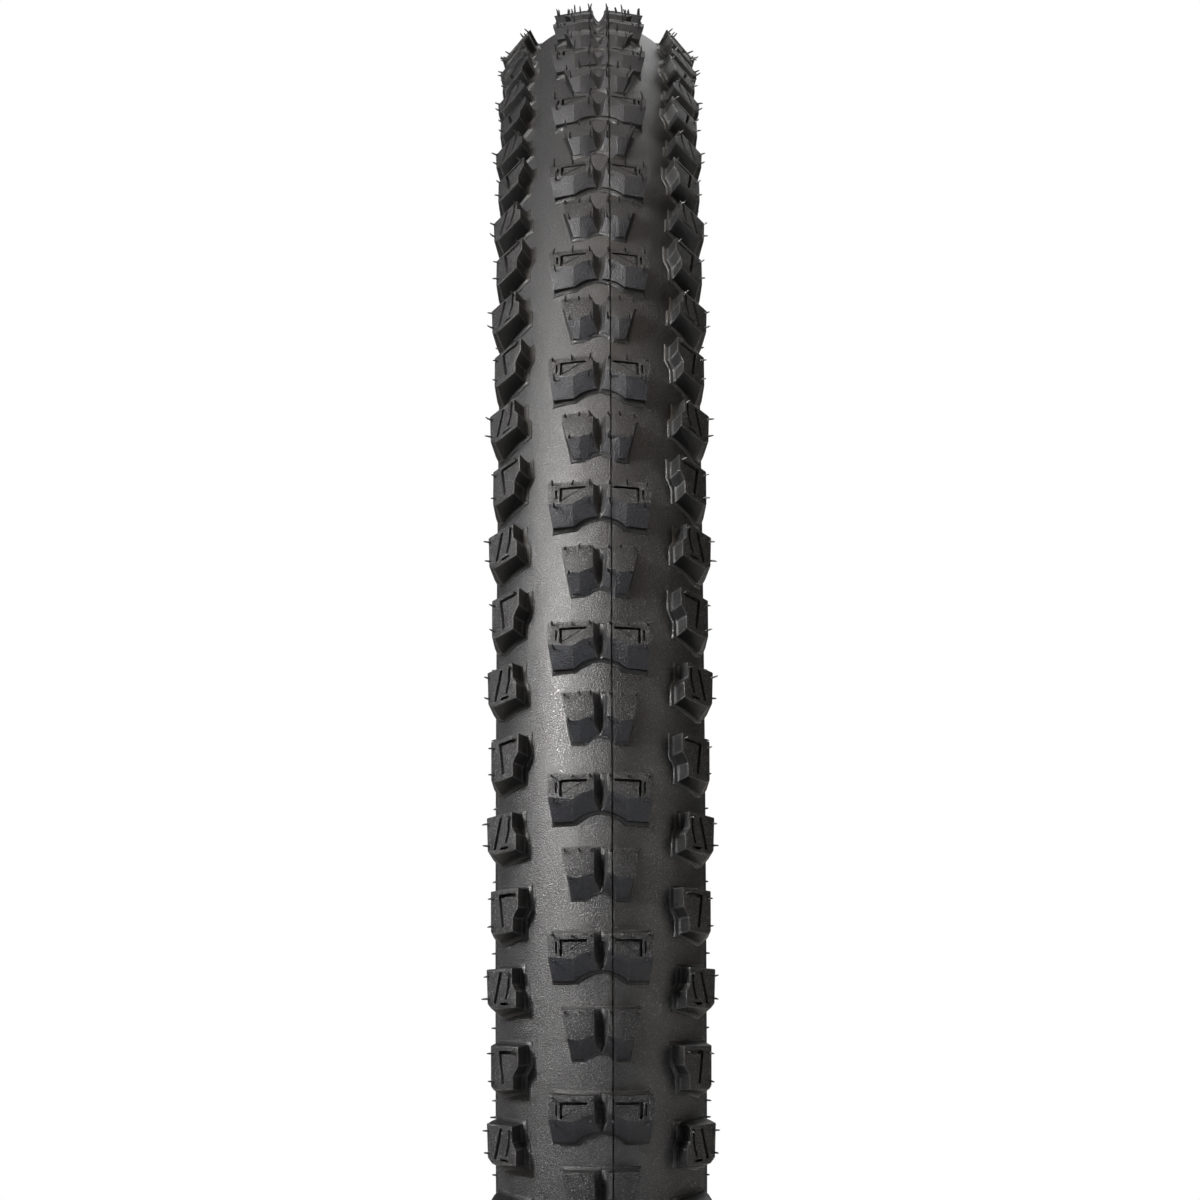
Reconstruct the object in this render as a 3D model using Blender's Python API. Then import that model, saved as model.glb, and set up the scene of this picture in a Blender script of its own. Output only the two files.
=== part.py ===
"""Bicycle tire, 65-584 (27.5 x 2.6 in), as the rings that it is laid up from.

The axle line is +Y through the origin and the tire stands in the XZ plane, rolling towards +X.
A section is drawn as (width, radius) points: width along Y, radius from the axle line.
"""

import math
from dataclasses import dataclass

import bmesh
import bpy
import numpy as np

# Driving dimensions, in metres.
OUTER_RADIUS = 0.357  # axle line to the flat tops of the centre knobs
BEAD_SEAT_RADIUS = 0.292  # half of the 584 mm rim seat
RIM_WIDTH = 0.030  # between the flanks of the two beads
CASING_RADIUS = 0.031  # of the round section, on the outside
CASING_CENTRE = 0.3218  # axle line to the middle of that section
GAP = 0.0003  # between pieces that touch
SEGMENTS = 24  # flats round each ring
PITCHES = 48  # repeats of the tread pattern

# A ring's corners stand as far outside the true circle as its flats lie inside it, and its phase
# keeps every corner between two centre knobs.
CORNER_SCALE = math.cos(math.pi / SEGMENTS) ** -0.5
RING_PHASE = math.radians(-5.5)

# Ply and rubber thicknesses.
CAP = 0.0015
TREAD_BASE = 0.0006
FABRIC = 0.0004
LINER = 0.0003
SIDEWALL = 0.0012
ARMOUR = 0.0007
CHAFER = 0.0007

# The section's corners, as angles from the crown, and where it meets the bead's flank.
CROWN_EDGE = math.radians(35)
SHOULDER_EDGE = math.radians(75)
WIDEST_EDGE = math.radians(112)
FLANK_TOP = (RIM_WIDTH / 2, BEAD_SEAT_RADIUS + 0.009)

# The bead, a bundle wrapped in fabric.
BEAD_HALF = 0.0040  # from the bundle's middle to the seat and to the flank
BEAD_CENTRE = (RIM_WIDTH / 2 - BEAD_HALF, BEAD_SEAT_RADIUS + BEAD_HALF)
BUNDLE_RADIUS = 0.0016

RUBBER = ("tread_rubber", (0.030, 0.031, 0.033), 0.72, 0.0)
SOFT_RUBBER = ("shoulder_rubber", (0.026, 0.027, 0.029), 0.76, 0.0)
UNDERTREAD = ("undertread_rubber", (0.045, 0.044, 0.043), 0.68, 0.0)
SIDE_RUBBER = ("sidewall_rubber", (0.022, 0.023, 0.025), 0.60, 0.0)
HARD_RUBBER = ("apex_rubber", (0.050, 0.050, 0.050), 0.55, 0.0)
NYLON = ("casing_fabric", (0.200, 0.180, 0.140), 0.80, 0.0)
WOVEN = ("armour_fabric", (0.120, 0.120, 0.130), 0.85, 0.0)
BUTYL = ("liner_butyl", (0.015, 0.015, 0.016), 0.45, 0.0)
ARAMID = ("bead_aramid", (0.620, 0.470, 0.150), 0.60, 0.0)


def clear_scene():
    for obj in list(bpy.data.objects):
        bpy.data.objects.remove(obj, do_unlink=True)


def material(recipe):
    """One Principled material for each recipe of name, colour, roughness and metallic."""
    name, colour, roughness, metallic = recipe
    made = bpy.data.materials.get(name)
    if made:
        return made
    made = bpy.data.materials.new(name)
    made.use_nodes = True
    shader = made.node_tree.nodes["Principled BSDF"]
    shader.inputs["Base Color"].default_value = (*colour, 1.0)
    shader.inputs["Roughness"].default_value = roughness
    shader.inputs["Metallic"].default_value = metallic
    return made


def object_from(name, bm, recipe):
    bmesh.ops.recalc_face_normals(bm, faces=bm.faces)
    mesh = bpy.data.meshes.new(name)
    bm.to_mesh(mesh)
    bm.free()
    mesh.materials.append(material(recipe))
    obj = bpy.data.objects.new(name, mesh)
    bpy.context.scene.collection.objects.link(obj)
    return obj


# ---------------------------------------------------------------- section drawing


def on_casing(angle):
    """A point of the round section's outside, at an angle from the crown."""
    width = CASING_RADIUS * math.sin(angle)
    return (width, CASING_CENTRE + CASING_RADIUS * math.cos(angle))


def mirrored(points):
    return [(-width, radius) for width, radius in reversed(points)]


def skin():
    """The whole outer surface, from the left flank over the crown to the right flank."""
    half = [on_casing(angle) for angle in (CROWN_EDGE, SHOULDER_EDGE, WIDEST_EDGE)]
    half.append(FLANK_TOP)
    return mirrored(half) + [on_casing(0.0)] + half


def distance(a, b):
    return math.hypot(b[0] - a[0], b[1] - a[1])


def stations(path):
    """How far each corner of a path lies from its middle corner, negative on the left."""
    along = [0.0]
    for a, b in zip(path, path[1:]):
        along.append(along[-1] + distance(a, b))
    middle = along[len(path) // 2]
    return [s - middle for s in along]


def cut(path, start, stop):
    """The stretch of a path between two stations."""
    along = stations(path)
    kept = []
    for station in sorted({start, stop, *(s for s in along if start < s < stop)}):
        i = max(k for k in range(len(path) - 1) if along[k] <= station + 1e-9)
        share = (station - along[i]) / (along[i + 1] - along[i])
        a, b = path[i], path[i + 1]
        kept.append((a[0] + share * (b[0] - a[0]), a[1] + share * (b[1] - a[1])))
    return kept


def inward_normal(a, b):
    length = distance(a, b)
    return ((b[1] - a[1]) / length, -(b[0] - a[0]) / length)


def offset(path, depth):
    """A path moved to its right by depth, with mitred corners."""
    normals = [inward_normal(a, b) for a, b in zip(path, path[1:])]
    moved = []
    for i, (width, radius) in enumerate(path):
        before = normals[max(i - 1, 0)]
        after = normals[min(i, len(normals) - 1)]
        scale = depth / (1.0 + before[0] * after[0] + before[1] * after[1])
        moved.append((width + scale * (before[0] + after[0]), radius + scale * (before[1] + after[1])))
    return moved


def ribbon(path, thickness):
    """The closed outline of a sheet whose middle follows the path."""
    return offset(path, -thickness / 2) + offset(path, thickness / 2)[::-1]


SKIN = skin()
FLANK_STATION = stations(SKIN)[-1]
CROWN_STATION = stations(SKIN)[5]
SHOULDER_STATION = stations(SKIN)[6]
WIDEST_STATION = stations(SKIN)[7]
TREAD_SPLIT = CROWN_STATION - 0.0010  # where the centre cap gives way to the shoulder's
SHOULDER_SPLIT = SHOULDER_STATION - 0.0010  # where the shoulder's cap gives way to the sidewall
CHAFER_STATION = FLANK_STATION - 0.0055  # where the chafer gives way to the sidewall

# Depths below the skin of each sheet's outer face.
BASE_DEPTH = CAP + GAP
BREAKER_DEPTH = BASE_DEPTH + TREAD_BASE + GAP
OUTER_PLY_DEPTH = BREAKER_DEPTH + FABRIC + GAP
INNER_PLY_DEPTH = OUTER_PLY_DEPTH + FABRIC + GAP
LINER_DEPTH = INNER_PLY_DEPTH + FABRIC + GAP
ARMOUR_DEPTH = SIDEWALL + GAP
TURN_UP_DEPTH = OUTER_PLY_DEPTH - GAP - FABRIC


def layer(start, stop, depth, thickness):
    """The middle line of a sheet that lies at a depth below the skin."""
    return offset(cut(SKIN, start, stop), depth + thickness / 2)


def both_sides(core, ending):
    """A sheet's middle line, continued down to both beads."""
    return mirrored(ending) + core + ending


# ---------------------------------------------------------------- rings


def spin(name, outline, recipe):
    """A closed section turned once round the axle line."""
    bm = bmesh.new()
    cosine, sine = math.cos(RING_PHASE) * CORNER_SCALE, math.sin(RING_PHASE) * CORNER_SCALE
    corners = [bm.verts.new((radius * cosine, width, radius * sine)) for width, radius in outline]
    edges = [bm.edges.new(pair) for pair in zip(corners, corners[1:] + corners[:1])]
    bmesh.ops.spin(
        bm,
        geom=corners + edges,
        cent=(0.0, 0.0, 0.0),
        axis=(0.0, 1.0, 0.0),
        angle=2 * math.pi,
        steps=SEGMENTS,
        use_merge=True,
    )
    return object_from(name, bm, recipe)


def pair_of(name, outline, recipe):
    """The same ring on the right and, mirrored, on the left."""
    return {
        "left": spin(name + "_left", mirrored(outline), recipe),
        "right": spin(name + "_right", outline, recipe),
    }


def bead_point(width, radius):
    """A point given from the middle of the right bead."""
    return (BEAD_CENTRE[0] + width, BEAD_CENTRE[1] + radius)


def bead_hook(reach, left_top, right_top):
    """A square hook round the bead, from its toe side, under it, to its flank side."""
    return [
        bead_point(-reach, left_top),
        bead_point(-reach, -reach),
        bead_point(reach, -reach),
        bead_point(reach, right_top),
    ]


def make_beads():
    hexagon = [
        bead_point(BUNDLE_RADIUS * math.cos(turn), BUNDLE_RADIUS * math.sin(turn))
        for turn in (math.radians(60 * k) for k in range(6))
    ]
    pair_of("bead_core", hexagon, ARAMID)
    wrap_reach = BUNDLE_RADIUS + GAP + FABRIC / 2
    wrap = bead_hook(wrap_reach, 0.0020, 0.0020)
    pair_of("bead_wrap", ribbon(wrap, FABRIC), WOVEN)


HOOK_REACH = BUNDLE_RADIUS + GAP + FABRIC + GAP + FABRIC / 2
TURN_UP_CORNER = 0.0076  # above the bead's middle, where the turn-up leans out along the sidewall
TURN_UP_STATION = WIDEST_STATION + 0.0035


def make_plies():
    """Two fabric sheets: the outer one turns up round the beads, the inner one ends at them."""
    outer = layer(-FLANK_STATION, FLANK_STATION, OUTER_PLY_DEPTH, FABRIC)
    turn_up = layer(TURN_UP_STATION, FLANK_STATION - 0.0006, TURN_UP_DEPTH, FABRIC)[:1]
    ending = bead_hook(HOOK_REACH, 0.0029, TURN_UP_CORNER) + turn_up
    spin("casing_ply_outer", ribbon(both_sides(outer, ending), FABRIC), NYLON)

    inner = layer(-FLANK_STATION, FLANK_STATION, INNER_PLY_DEPTH, FABRIC)
    reach = HOOK_REACH + FABRIC + GAP
    ending = [bead_point(-reach, 0.0032), bead_point(-reach, 0.0016)]
    spin("casing_ply_inner", ribbon(both_sides(inner, ending), FABRIC), NYLON)

    lining = layer(-FLANK_STATION, FLANK_STATION, LINER_DEPTH, LINER)
    reach += FABRIC / 2 + GAP + LINER / 2
    ending = [bead_point(-reach, 0.0035), bead_point(-reach, 0.0016)]
    spin("inner_liner", ribbon(both_sides(lining, ending), LINER), BUTYL)


def make_apexes():
    """The hard rubber wedge between a ply and its turn-up, above the bead."""
    wedge = [
        bead_point(-0.0019, 0.0026),
        bead_point(0.0023, 0.0026),
        bead_point(0.0023, 0.0066),
        bead_point(0.0019, 0.0067),
    ]
    pair_of("apex_filler", wedge, HARD_RUBBER)


def make_chafers():
    reach = BEAD_HALF - CHAFER / 2
    below = bead_hook(reach, 0.0010, 0.0)[:3]
    flank = layer(CHAFER_STATION, FLANK_STATION, 0.0, CHAFER)
    corner = (RIM_WIDTH / 2 - CHAFER / 2, flank[-1][1] + 0.00035)
    pair_of("chafer", ribbon(below + [corner, flank[0]], CHAFER), SIDE_RUBBER)


def make_sidewalls():
    rubber = layer(SHOULDER_SPLIT, CHAFER_STATION - GAP, 0.0, SIDEWALL)
    pair_of("sidewall", ribbon(rubber, SIDEWALL), SIDE_RUBBER)
    armour = layer(SHOULDER_STATION + 0.002, CHAFER_STATION - 0.002, ARMOUR_DEPTH, ARMOUR)
    pair_of("sidewall_armour", ribbon(armour, ARMOUR), WOVEN)


def make_breaker():
    edge = CROWN_STATION + 0.012
    spin("breaker_belt", ribbon(layer(-edge, edge, BREAKER_DEPTH, FABRIC), FABRIC), WOVEN)


# ---------------------------------------------------------------- tread


def skin_line(width):
    """Slope and height of the skin's flat at a width, as radius = height + slope * width."""
    for a, b in zip(SKIN[4:], SKIN[5:]):
        if width <= b[0]:
            break
    slope = (b[1] - a[1]) / (b[0] - a[0])
    return slope, a[1] - slope * a[0]


def facet_share(angle):
    """The ring's radius at an angle, as a share of the true circle's."""
    step = 2 * math.pi / SEGMENTS
    from_middle = (angle - RING_PHASE) % step - step / 2
    return CORNER_SCALE * math.cos(step / 2) / math.cos(from_middle)


ROOT_DEPTH = 0.0005  # how far a knob's root reaches into its cap


@dataclass(frozen=True)
class Knob:
    """A block bounded by planes, described where its top is square to the radius.

    Stations run round the ring in metres from the block's middle: back is the upright trailing
    wall, ramp is where the sloped leading face starts and front is where it ends. Widths are
    given at the top, at the back and at the front, and a draft is how far a wall moves outwards
    for each unit that it goes down.
    """

    back: float
    front: float
    inner: tuple
    outer: tuple
    top: tuple  # radii of the top at its inner and at its outer edge
    ramp: float = 0.0
    front_drop: float = 0.0  # of the ramp, which the shoulder knobs do without
    end_draft: float = 0.15
    inner_draft: float = 0.15
    outer_draft: float = 0.15

    def footing(self, middle):
        """The ring's radius under the knob as a share of the true circle's, and its tilt along the ring."""
        reach = [station / CASING_CENTRE for station in (self.back, self.front)]
        ends = [facet_share(middle + angle) * math.cos(angle) for angle in reach]
        tilt = (ends[0] - ends[1]) / (reach[0] - reach[1])
        return ends[0] - tilt * reach[0], tilt

    def planes(self, middle):
        """Each face as (a, b, c, d), where a * station + b * width + c * radius = d."""
        length = self.front - self.back
        inner_lean = (self.inner[1] - self.inner[0]) / length
        outer_lean = (self.outer[1] - self.outer[0]) / length
        inner_top, outer_top = self.top
        fall = (inner_top - outer_top) / (self.outer[0] - self.inner[0])
        crest = inner_top + fall * self.inner[0]
        ramp_slope = self.front_drop / (self.ramp - self.front)
        slope, height = skin_line((self.inner[0] + self.outer[0]) / 2)
        share, tilt = self.footing(middle)
        return {
            "back": (1.0, 0.0, self.end_draft, self.back + self.end_draft * inner_top),
            "front": (1.0, 0.0, -self.end_draft, self.front - self.end_draft * inner_top),
            "inner": (
                -inner_lean,
                1.0,
                -self.inner_draft,
                self.inner[0] - inner_lean * self.back - self.inner_draft * inner_top,
            ),
            "outer": (
                -outer_lean,
                1.0,
                self.outer_draft,
                self.outer[0] - outer_lean * self.back + self.outer_draft * outer_top,
            ),
            "top": (0.0, fall, 1.0, crest),
            "ramp": (-ramp_slope, fall, 1.0, crest - ramp_slope * self.ramp),
            "root": (-tilt, -slope * share, 1.0, height * share - ROOT_DEPTH),
        }

    def corners(self, middle):
        planes = self.planes(middle)
        leading = [("ramp", "top"), ("front", "ramp")] if self.front_drop else [("front", "top")]
        for end, roof in [("back", "root"), ("front", "root"), ("back", "top")] + leading:
            for wall in ("inner", "outer"):
                rows = np.array([planes[end], planes[wall], planes[roof]])
                yield np.linalg.solve(rows[:, :3], rows[:, 3])

    def add_to(self, bm, middle, side):
        """The block on one side of the tread: side is 1 on the right and -1 on the left."""
        verts = []
        for station, width, radius in self.corners(middle):
            x = radius * math.cos(middle) - station * math.sin(middle)
            z = radius * math.sin(middle) + station * math.cos(middle)
            verts.append(bm.verts.new((x, side * width, z)))
        bmesh.ops.convex_hull(bm, input=verts)


TREAD_PITCH = 2 * math.pi / PITCHES
SIDE_TOP = (0.3495, 0.3400)  # radii of a shoulder knob's inner and outer top edge

WIDE = Knob(
    back=0.0067,
    ramp=-0.0020,
    front=-0.0067,
    inner=(0.0024, 0.0016),
    outer=(0.0149, 0.0138),
    top=(OUTER_RADIUS, OUTER_RADIUS),
    front_drop=0.0034,
    outer_draft=0.05,
)
NARROW = Knob(
    back=0.0069,
    ramp=-0.0028,
    front=-0.0069,
    inner=(0.0024, 0.0016),
    outer=(0.0112, 0.0084),
    top=(OUTER_RADIUS, OUTER_RADIUS),
    front_drop=0.0034,
)
SHOULDER_NARROW = Knob(
    back=0.0055,
    front=-0.0055,
    inner=(0.0256, 0.0245),
    outer=(0.0330, 0.0326),
    top=SIDE_TOP,
    inner_draft=0.55,
    outer_draft=-0.54,
)
SHOULDER_WIDE = Knob(
    back=0.0061,
    front=-0.0061,
    inner=(0.0238, 0.0254),
    outer=(0.0314, 0.0314),
    top=SIDE_TOP,
    inner_draft=0.55,
    outer_draft=-0.34,
)

# Where each kind of knob sits in a pitch, as an angle from the middle of the wide pair.
NARROW_ANGLE = math.radians(-3.52)
SHOULDER_NARROW_ANGLE = math.radians(-1.35)
SHOULDER_WIDE_ANGLE = math.radians(-5.15)


def moulded(band, name, knobs, sides):
    """The band with its knobs grown onto it, on every pitch."""
    bm = bmesh.new()
    for pitch in range(PITCHES):
        for knob, angle in knobs:
            for side in sides:
                knob.add_to(bm, pitch * TREAD_PITCH + angle, side)
    blocks = object_from(name, bm, RUBBER)
    blocks.hide_render = True
    blocks.display_type = "WIRE"
    join = band.modifiers.new("knobs", "BOOLEAN")
    join.operation = "UNION"
    join.object = blocks


def make_tread():
    under = SHOULDER_STATION - 0.001
    base = layer(-under, under, BASE_DEPTH, TREAD_BASE)
    spin("tread_base", ribbon(base, TREAD_BASE), UNDERTREAD)

    edge = TREAD_SPLIT - GAP
    centre = spin("centre_tread", ribbon(layer(-edge, edge, 0.0, CAP), CAP), RUBBER)
    moulded(centre, "centre_knobs", [(WIDE, 0.0), (NARROW, NARROW_ANGLE)], (-1, 1))

    outline = ribbon(layer(TREAD_SPLIT, SHOULDER_SPLIT - GAP, 0.0, CAP), CAP)
    knobs = [(SHOULDER_NARROW, SHOULDER_NARROW_ANGLE), (SHOULDER_WIDE, SHOULDER_WIDE_ANGLE)]
    for side, band in pair_of("shoulder_tread", outline, SOFT_RUBBER).items():
        moulded(band, "shoulder_knobs_" + side, knobs, (-1 if side == "left" else 1,))


SMOOTH_UP_TO = math.radians(25)


def shade_round():
    for obj in bpy.data.objects:
        obj.data.shade_smooth()
        obj.data.set_sharp_from_angle(angle=SMOOTH_UP_TO)


def main():
    clear_scene()
    make_beads()
    make_plies()
    make_apexes()
    make_chafers()
    make_sidewalls()
    make_breaker()
    make_tread()
    shade_round()


if __name__ == "__main__":
    main()
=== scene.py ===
"""Looks of a mountain-bike tire: moulded tread, sidewalls, beads and the layers under them."""

import logging
import math
import random
from dataclasses import dataclass
from dataclasses import field
from enum import Enum
from enum import IntEnum
from typing import Sequence
from typing import Union

import bmesh
import bpy
import numpy as np
from mathutils import Matrix
from mathutils import Vector


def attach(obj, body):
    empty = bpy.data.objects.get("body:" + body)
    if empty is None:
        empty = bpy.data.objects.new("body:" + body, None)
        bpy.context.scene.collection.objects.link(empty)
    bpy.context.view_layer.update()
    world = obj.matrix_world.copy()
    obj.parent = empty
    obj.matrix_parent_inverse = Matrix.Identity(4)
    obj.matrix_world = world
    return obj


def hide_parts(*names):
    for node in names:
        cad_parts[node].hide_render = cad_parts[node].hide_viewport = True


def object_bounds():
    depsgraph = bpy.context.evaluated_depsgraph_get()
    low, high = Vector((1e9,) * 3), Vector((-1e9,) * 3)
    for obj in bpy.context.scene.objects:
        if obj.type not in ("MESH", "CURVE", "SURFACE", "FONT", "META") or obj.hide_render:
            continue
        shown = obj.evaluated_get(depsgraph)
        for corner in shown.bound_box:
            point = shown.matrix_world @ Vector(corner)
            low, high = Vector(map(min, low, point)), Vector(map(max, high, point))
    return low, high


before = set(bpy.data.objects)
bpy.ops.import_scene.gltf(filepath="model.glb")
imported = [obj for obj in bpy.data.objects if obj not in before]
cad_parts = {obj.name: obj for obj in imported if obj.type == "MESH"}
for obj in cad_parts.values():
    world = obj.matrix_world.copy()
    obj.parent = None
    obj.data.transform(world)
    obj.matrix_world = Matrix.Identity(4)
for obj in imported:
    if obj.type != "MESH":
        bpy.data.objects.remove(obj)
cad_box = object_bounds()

MM = 0.001
PITCHES = 48
RING_STEPS = 192
SIDEWALL_STEPS = 240
SHARP_ANGLE = math.radians(38.0)

Point = tuple[float, float]
Colour = tuple[float, float, float]

log = logging.getLogger("tire")


# --------------------------------------------------------------------------------------
# Shader maths
# --------------------------------------------------------------------------------------


class Signal:
    """One socket of a material, so that shader maths reads as an expression."""

    def __init__(self, paint: "Paint", socket: bpy.types.NodeSocket) -> None:
        """Keeps the socket and the material that it belongs to."""
        self.paint = paint
        self.socket = socket

    def apply(self, operation: str, *values: "Number") -> "Signal":
        """Adds one Math node.

        Args:
            operation: the Math node's operation.
            values: what goes into its sockets, in order.

        Returns:
            The node's result.
        """
        made = self.paint.node("ShaderNodeMath", {"operation": operation}, dict(enumerate(values)))
        return Signal(self.paint, made.outputs[0])

    def __add__(self, other: "Number") -> "Signal":
        """Self plus other."""
        return self.apply("ADD", self, other)

    def __radd__(self, other: "Number") -> "Signal":
        """Other plus self."""
        return self.apply("ADD", other, self)

    def __sub__(self, other: "Number") -> "Signal":
        """Self less other."""
        return self.apply("SUBTRACT", self, other)

    def __rsub__(self, other: "Number") -> "Signal":
        """Other less self."""
        return self.apply("SUBTRACT", other, self)

    def __mul__(self, other: "Number") -> "Signal":
        """Self times other."""
        return self.apply("MULTIPLY", self, other)

    def __rmul__(self, other: "Number") -> "Signal":
        """Other times self."""
        return self.apply("MULTIPLY", other, self)

    def size(self) -> "Signal":
        """The value without its sign."""
        return self.apply("ABSOLUTE", self)

    def sine(self) -> "Signal":
        """The sine of the value."""
        return self.apply("SINE", self)

    def angle_from(self, other: "Signal") -> "Signal":
        """The angle whose tangent is self over other."""
        return self.apply("ARCTAN2", self, other)

    def rise(self, low: float, high: float) -> "Signal":
        """A smooth step from 0 to 1.

        Args:
            low: where the step starts.
            high: where it ends.

        Returns:
            The stepped value.
        """
        settings = {"interpolation_type": "SMOOTHSTEP"}
        sockets = {"Value": self, "From Min": low, "From Max": high}
        return Signal(self.paint, self.paint.node("ShaderNodeMapRange", settings, sockets).outputs[0])


Number = Union[Signal, float]


class Paint:
    """A material that is put together node by node."""

    def __init__(self, name: str) -> None:
        """Starts an empty material of that name."""
        self.material = bpy.data.materials.new(name)
        self.material.use_nodes = True
        self.tree = self.material.node_tree
        self.tree.nodes.clear()

    def node(self, kind: str, settings: dict, sockets: dict) -> bpy.types.Node:
        """Adds one node.

        Args:
            kind: the node's type.
            settings: its properties, which are set first.
            sockets: a value or a Signal for each socket, by name or place.

        Returns:
            The new node.
        """
        made = self.tree.nodes.new(kind)
        for key, value in settings.items():
            setattr(made, key, value)
        for key, value in sockets.items():
            if isinstance(value, Signal):
                self.tree.links.new(value.socket, made.inputs[key])
            else:
                made.inputs[key].default_value = value
        return made

    def place(self) -> Signal:
        """Where the surface is, in metres from the wheel's centre."""
        return Signal(self, self.node("ShaderNodeTexCoord", {}, {}).outputs["Object"])

    def axes(self, place: Signal) -> tuple[Signal, Signal, Signal]:
        """The x, y and z of a place."""
        made = self.node("ShaderNodeSeparateXYZ", {}, {"Vector": place})
        return tuple(Signal(self, made.outputs[i]) for i in range(3))

    def noise(self, place: Signal, size: float, detail: float = 2.0) -> Signal:
        """Cloudy noise.

        Args:
            place: where it is read.
            size: the size of one cloud, in metres.
            detail: how many finer layers it has.

        Returns:
            A value around 0.5.
        """
        sockets = {"Vector": place, "Scale": 1.0 / size, "Detail": detail}
        return Signal(self, self.node("ShaderNodeTexNoise", {}, sockets).outputs[0])

    def pebbles(self, place: Signal, size: float) -> Signal:
        """Rounded grains.

        Args:
            place: where they are read.
            size: the size of one grain, in metres.

        Returns:
            The distance from the middle of the nearest grain.
        """
        sockets = {"Vector": place, "Scale": 1.0 / size}
        return Signal(self, self.node("ShaderNodeTexVoronoi", {}, sockets).outputs["Distance"])

    def blend(self, share: Number, first: "Shade", second: "Shade") -> Signal:
        """Mixes two colours.

        Args:
            share: how much of the second colour shows.
            first: the colour at 0.
            second: the colour at 1.

        Returns:
            The mixed colour.
        """
        sockets = {0: share, 6: self.solid(first), 7: self.solid(second)}
        made = self.node("ShaderNodeMix", {"data_type": "RGBA"}, sockets)
        return Signal(self, made.outputs[2])

    @staticmethod
    def solid(shade: "Shade") -> Union[Signal, tuple]:
        """A colour in the form that a socket takes."""
        return shade if isinstance(shade, Signal) else (*shade, 1.0)

    def relief(self, height: Signal, distance: float, strength: float = 1.0) -> Signal:
        """Turns a height into a bumped normal.

        Args:
            height: the height, from about 0 to 1.
            distance: how far 1 stands proud, in metres.
            strength: the share of the bump that shows.

        Returns:
            The normal.
        """
        sockets = {"Strength": strength, "Distance": distance, "Height": height}
        return Signal(self, self.node("ShaderNodeBump", {}, sockets).outputs[0])

    def finish(self, sockets: dict) -> bpy.types.Material:
        """Ends the material in a Principled shader.

        Args:
            sockets: the shader's values and Signals, by name.

        Returns:
            The finished material.
        """
        shader = self.node("ShaderNodeBsdfPrincipled", {}, sockets)
        surface = Signal(self, shader.outputs[0])
        self.node("ShaderNodeOutputMaterial", {}, {"Surface": surface})
        return self.material


Shade = Union[Signal, Colour]


# --------------------------------------------------------------------------------------
# Finishes
# --------------------------------------------------------------------------------------


@dataclass(frozen=True)
class Rubber:
    """Moulded rubber: fine grain, a dusty bloom, and painted shade: a dark line along the mould's seam and
    a darker half beyond it, fading away from the seam.
    """

    name: str
    colour: Colour
    bloom: Colour
    roughness: float = 0.5
    grain: float = 0.00042
    relief: float = 0.00009
    sheen: float = 0.5
    # Painted shade: where it starts, how dark the half beyond the seam is, and how dark the seam's line is.
    shade_from: float = 1.0
    dark_share: float = 0.0
    seam_shade_share: float = 0.0
    speck_share: float = 0.35
    cloud_size: float = 0.022
    speck_size: float = 0.00044
    speck_colour: Colour = (0.090, 0.090, 0.096)
    seam_shade_edges: Point = (0.00026, 0.00052)
    shade_step_width: float = 0.0004
    shade_fade_edges: Point = (0.002, 0.013)
    shade_fade_share: float = 0.8

    def shadow(self, across: Signal) -> Signal:
        """How much painted shade lies on the seam's line and on the half of the tread beyond it.

        Args:
            across: the distance from the middle of the tire.

        Returns:
            The share of black.
        """
        near, far = self.shade_fade_edges
        fade = 1.0 - across.rise(self.shade_from + near, self.shade_from + far) * self.shade_fade_share
        half = across.rise(self.shade_from, self.shade_from + self.shade_step_width) * fade * self.dark_share
        line = (across - self.shade_from).size()
        return half + (1.0 - line.rise(*self.seam_shade_edges)) * self.seam_shade_share

    def material(self) -> bpy.types.Material:
        """Builds the material."""
        paint = Paint(self.name)
        place = paint.place()
        clouds = paint.noise(place, self.cloud_size, 3.0)
        grain = paint.noise(place, self.grain, 2.0).rise(0.32, 0.68)
        pebbles = paint.pebbles(place, self.grain * 1.3)
        across = paint.axes(place)[1]
        bloom = (clouds * 0.5 + grain * 0.75).rise(0.30, 0.95)
        specks = paint.noise(place, self.speck_size, 1.0).rise(0.58, 0.68) * self.speck_share
        base = paint.blend(specks, paint.blend(bloom, self.colour, self.bloom), self.speck_colour)
        # Painted shade: the seam's line and the half beyond it are mixed towards black.
        shaded = paint.blend(self.shadow(across), base, (0.0, 0.0, 0.0))
        height = grain * 0.9 + pebbles * 0.1
        return paint.finish({
            "Base Color": shaded,
            "Roughness": self.roughness + (grain - 0.5) * 0.22 + (clouds - 0.5) * 0.10,
            "Specular IOR Level": self.sheen,
            "Normal": paint.relief(height, self.relief),
        })


@dataclass(frozen=True)
class Cloth:
    """Rubber-coated thread: two sets of threads that cross on the slant or squarely."""

    name: str
    thread_colour: Colour
    rubber_colour: Colour
    pitch: float
    slant: float
    radius: float
    relief: float = 0.00012
    roughness: float = 0.6

    def material(self) -> bpy.types.Material:
        """Builds the material."""
        paint = Paint(self.name)
        place = paint.place()
        x, y, z = paint.axes(place)
        around = z.angle_from(x) * self.radius
        turn = math.tau / self.pitch
        warp = (around * (turn * math.cos(self.slant)) + y * (turn * math.sin(self.slant))).sine()
        weft = (around * (turn * math.sin(self.slant)) - y * (turn * math.cos(self.slant))).sine()
        threads = (warp * weft) * 0.5 + 0.5
        fibre = paint.noise(place, 0.0004, 2.0)
        clouds = paint.noise(place, 0.03, 2.0)
        cover = (threads * 0.8 + fibre * 0.3).rise(0.25, 0.95)
        worn = paint.blend(clouds * 0.35, self.thread_colour, self.rubber_colour)
        return paint.finish({
            "Base Color": paint.blend(cover, self.rubber_colour, worn),
            "Roughness": self.roughness + (fibre - 0.5) * 0.25,
            "Normal": paint.relief(threads + fibre * 0.3, self.relief),
        })


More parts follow.
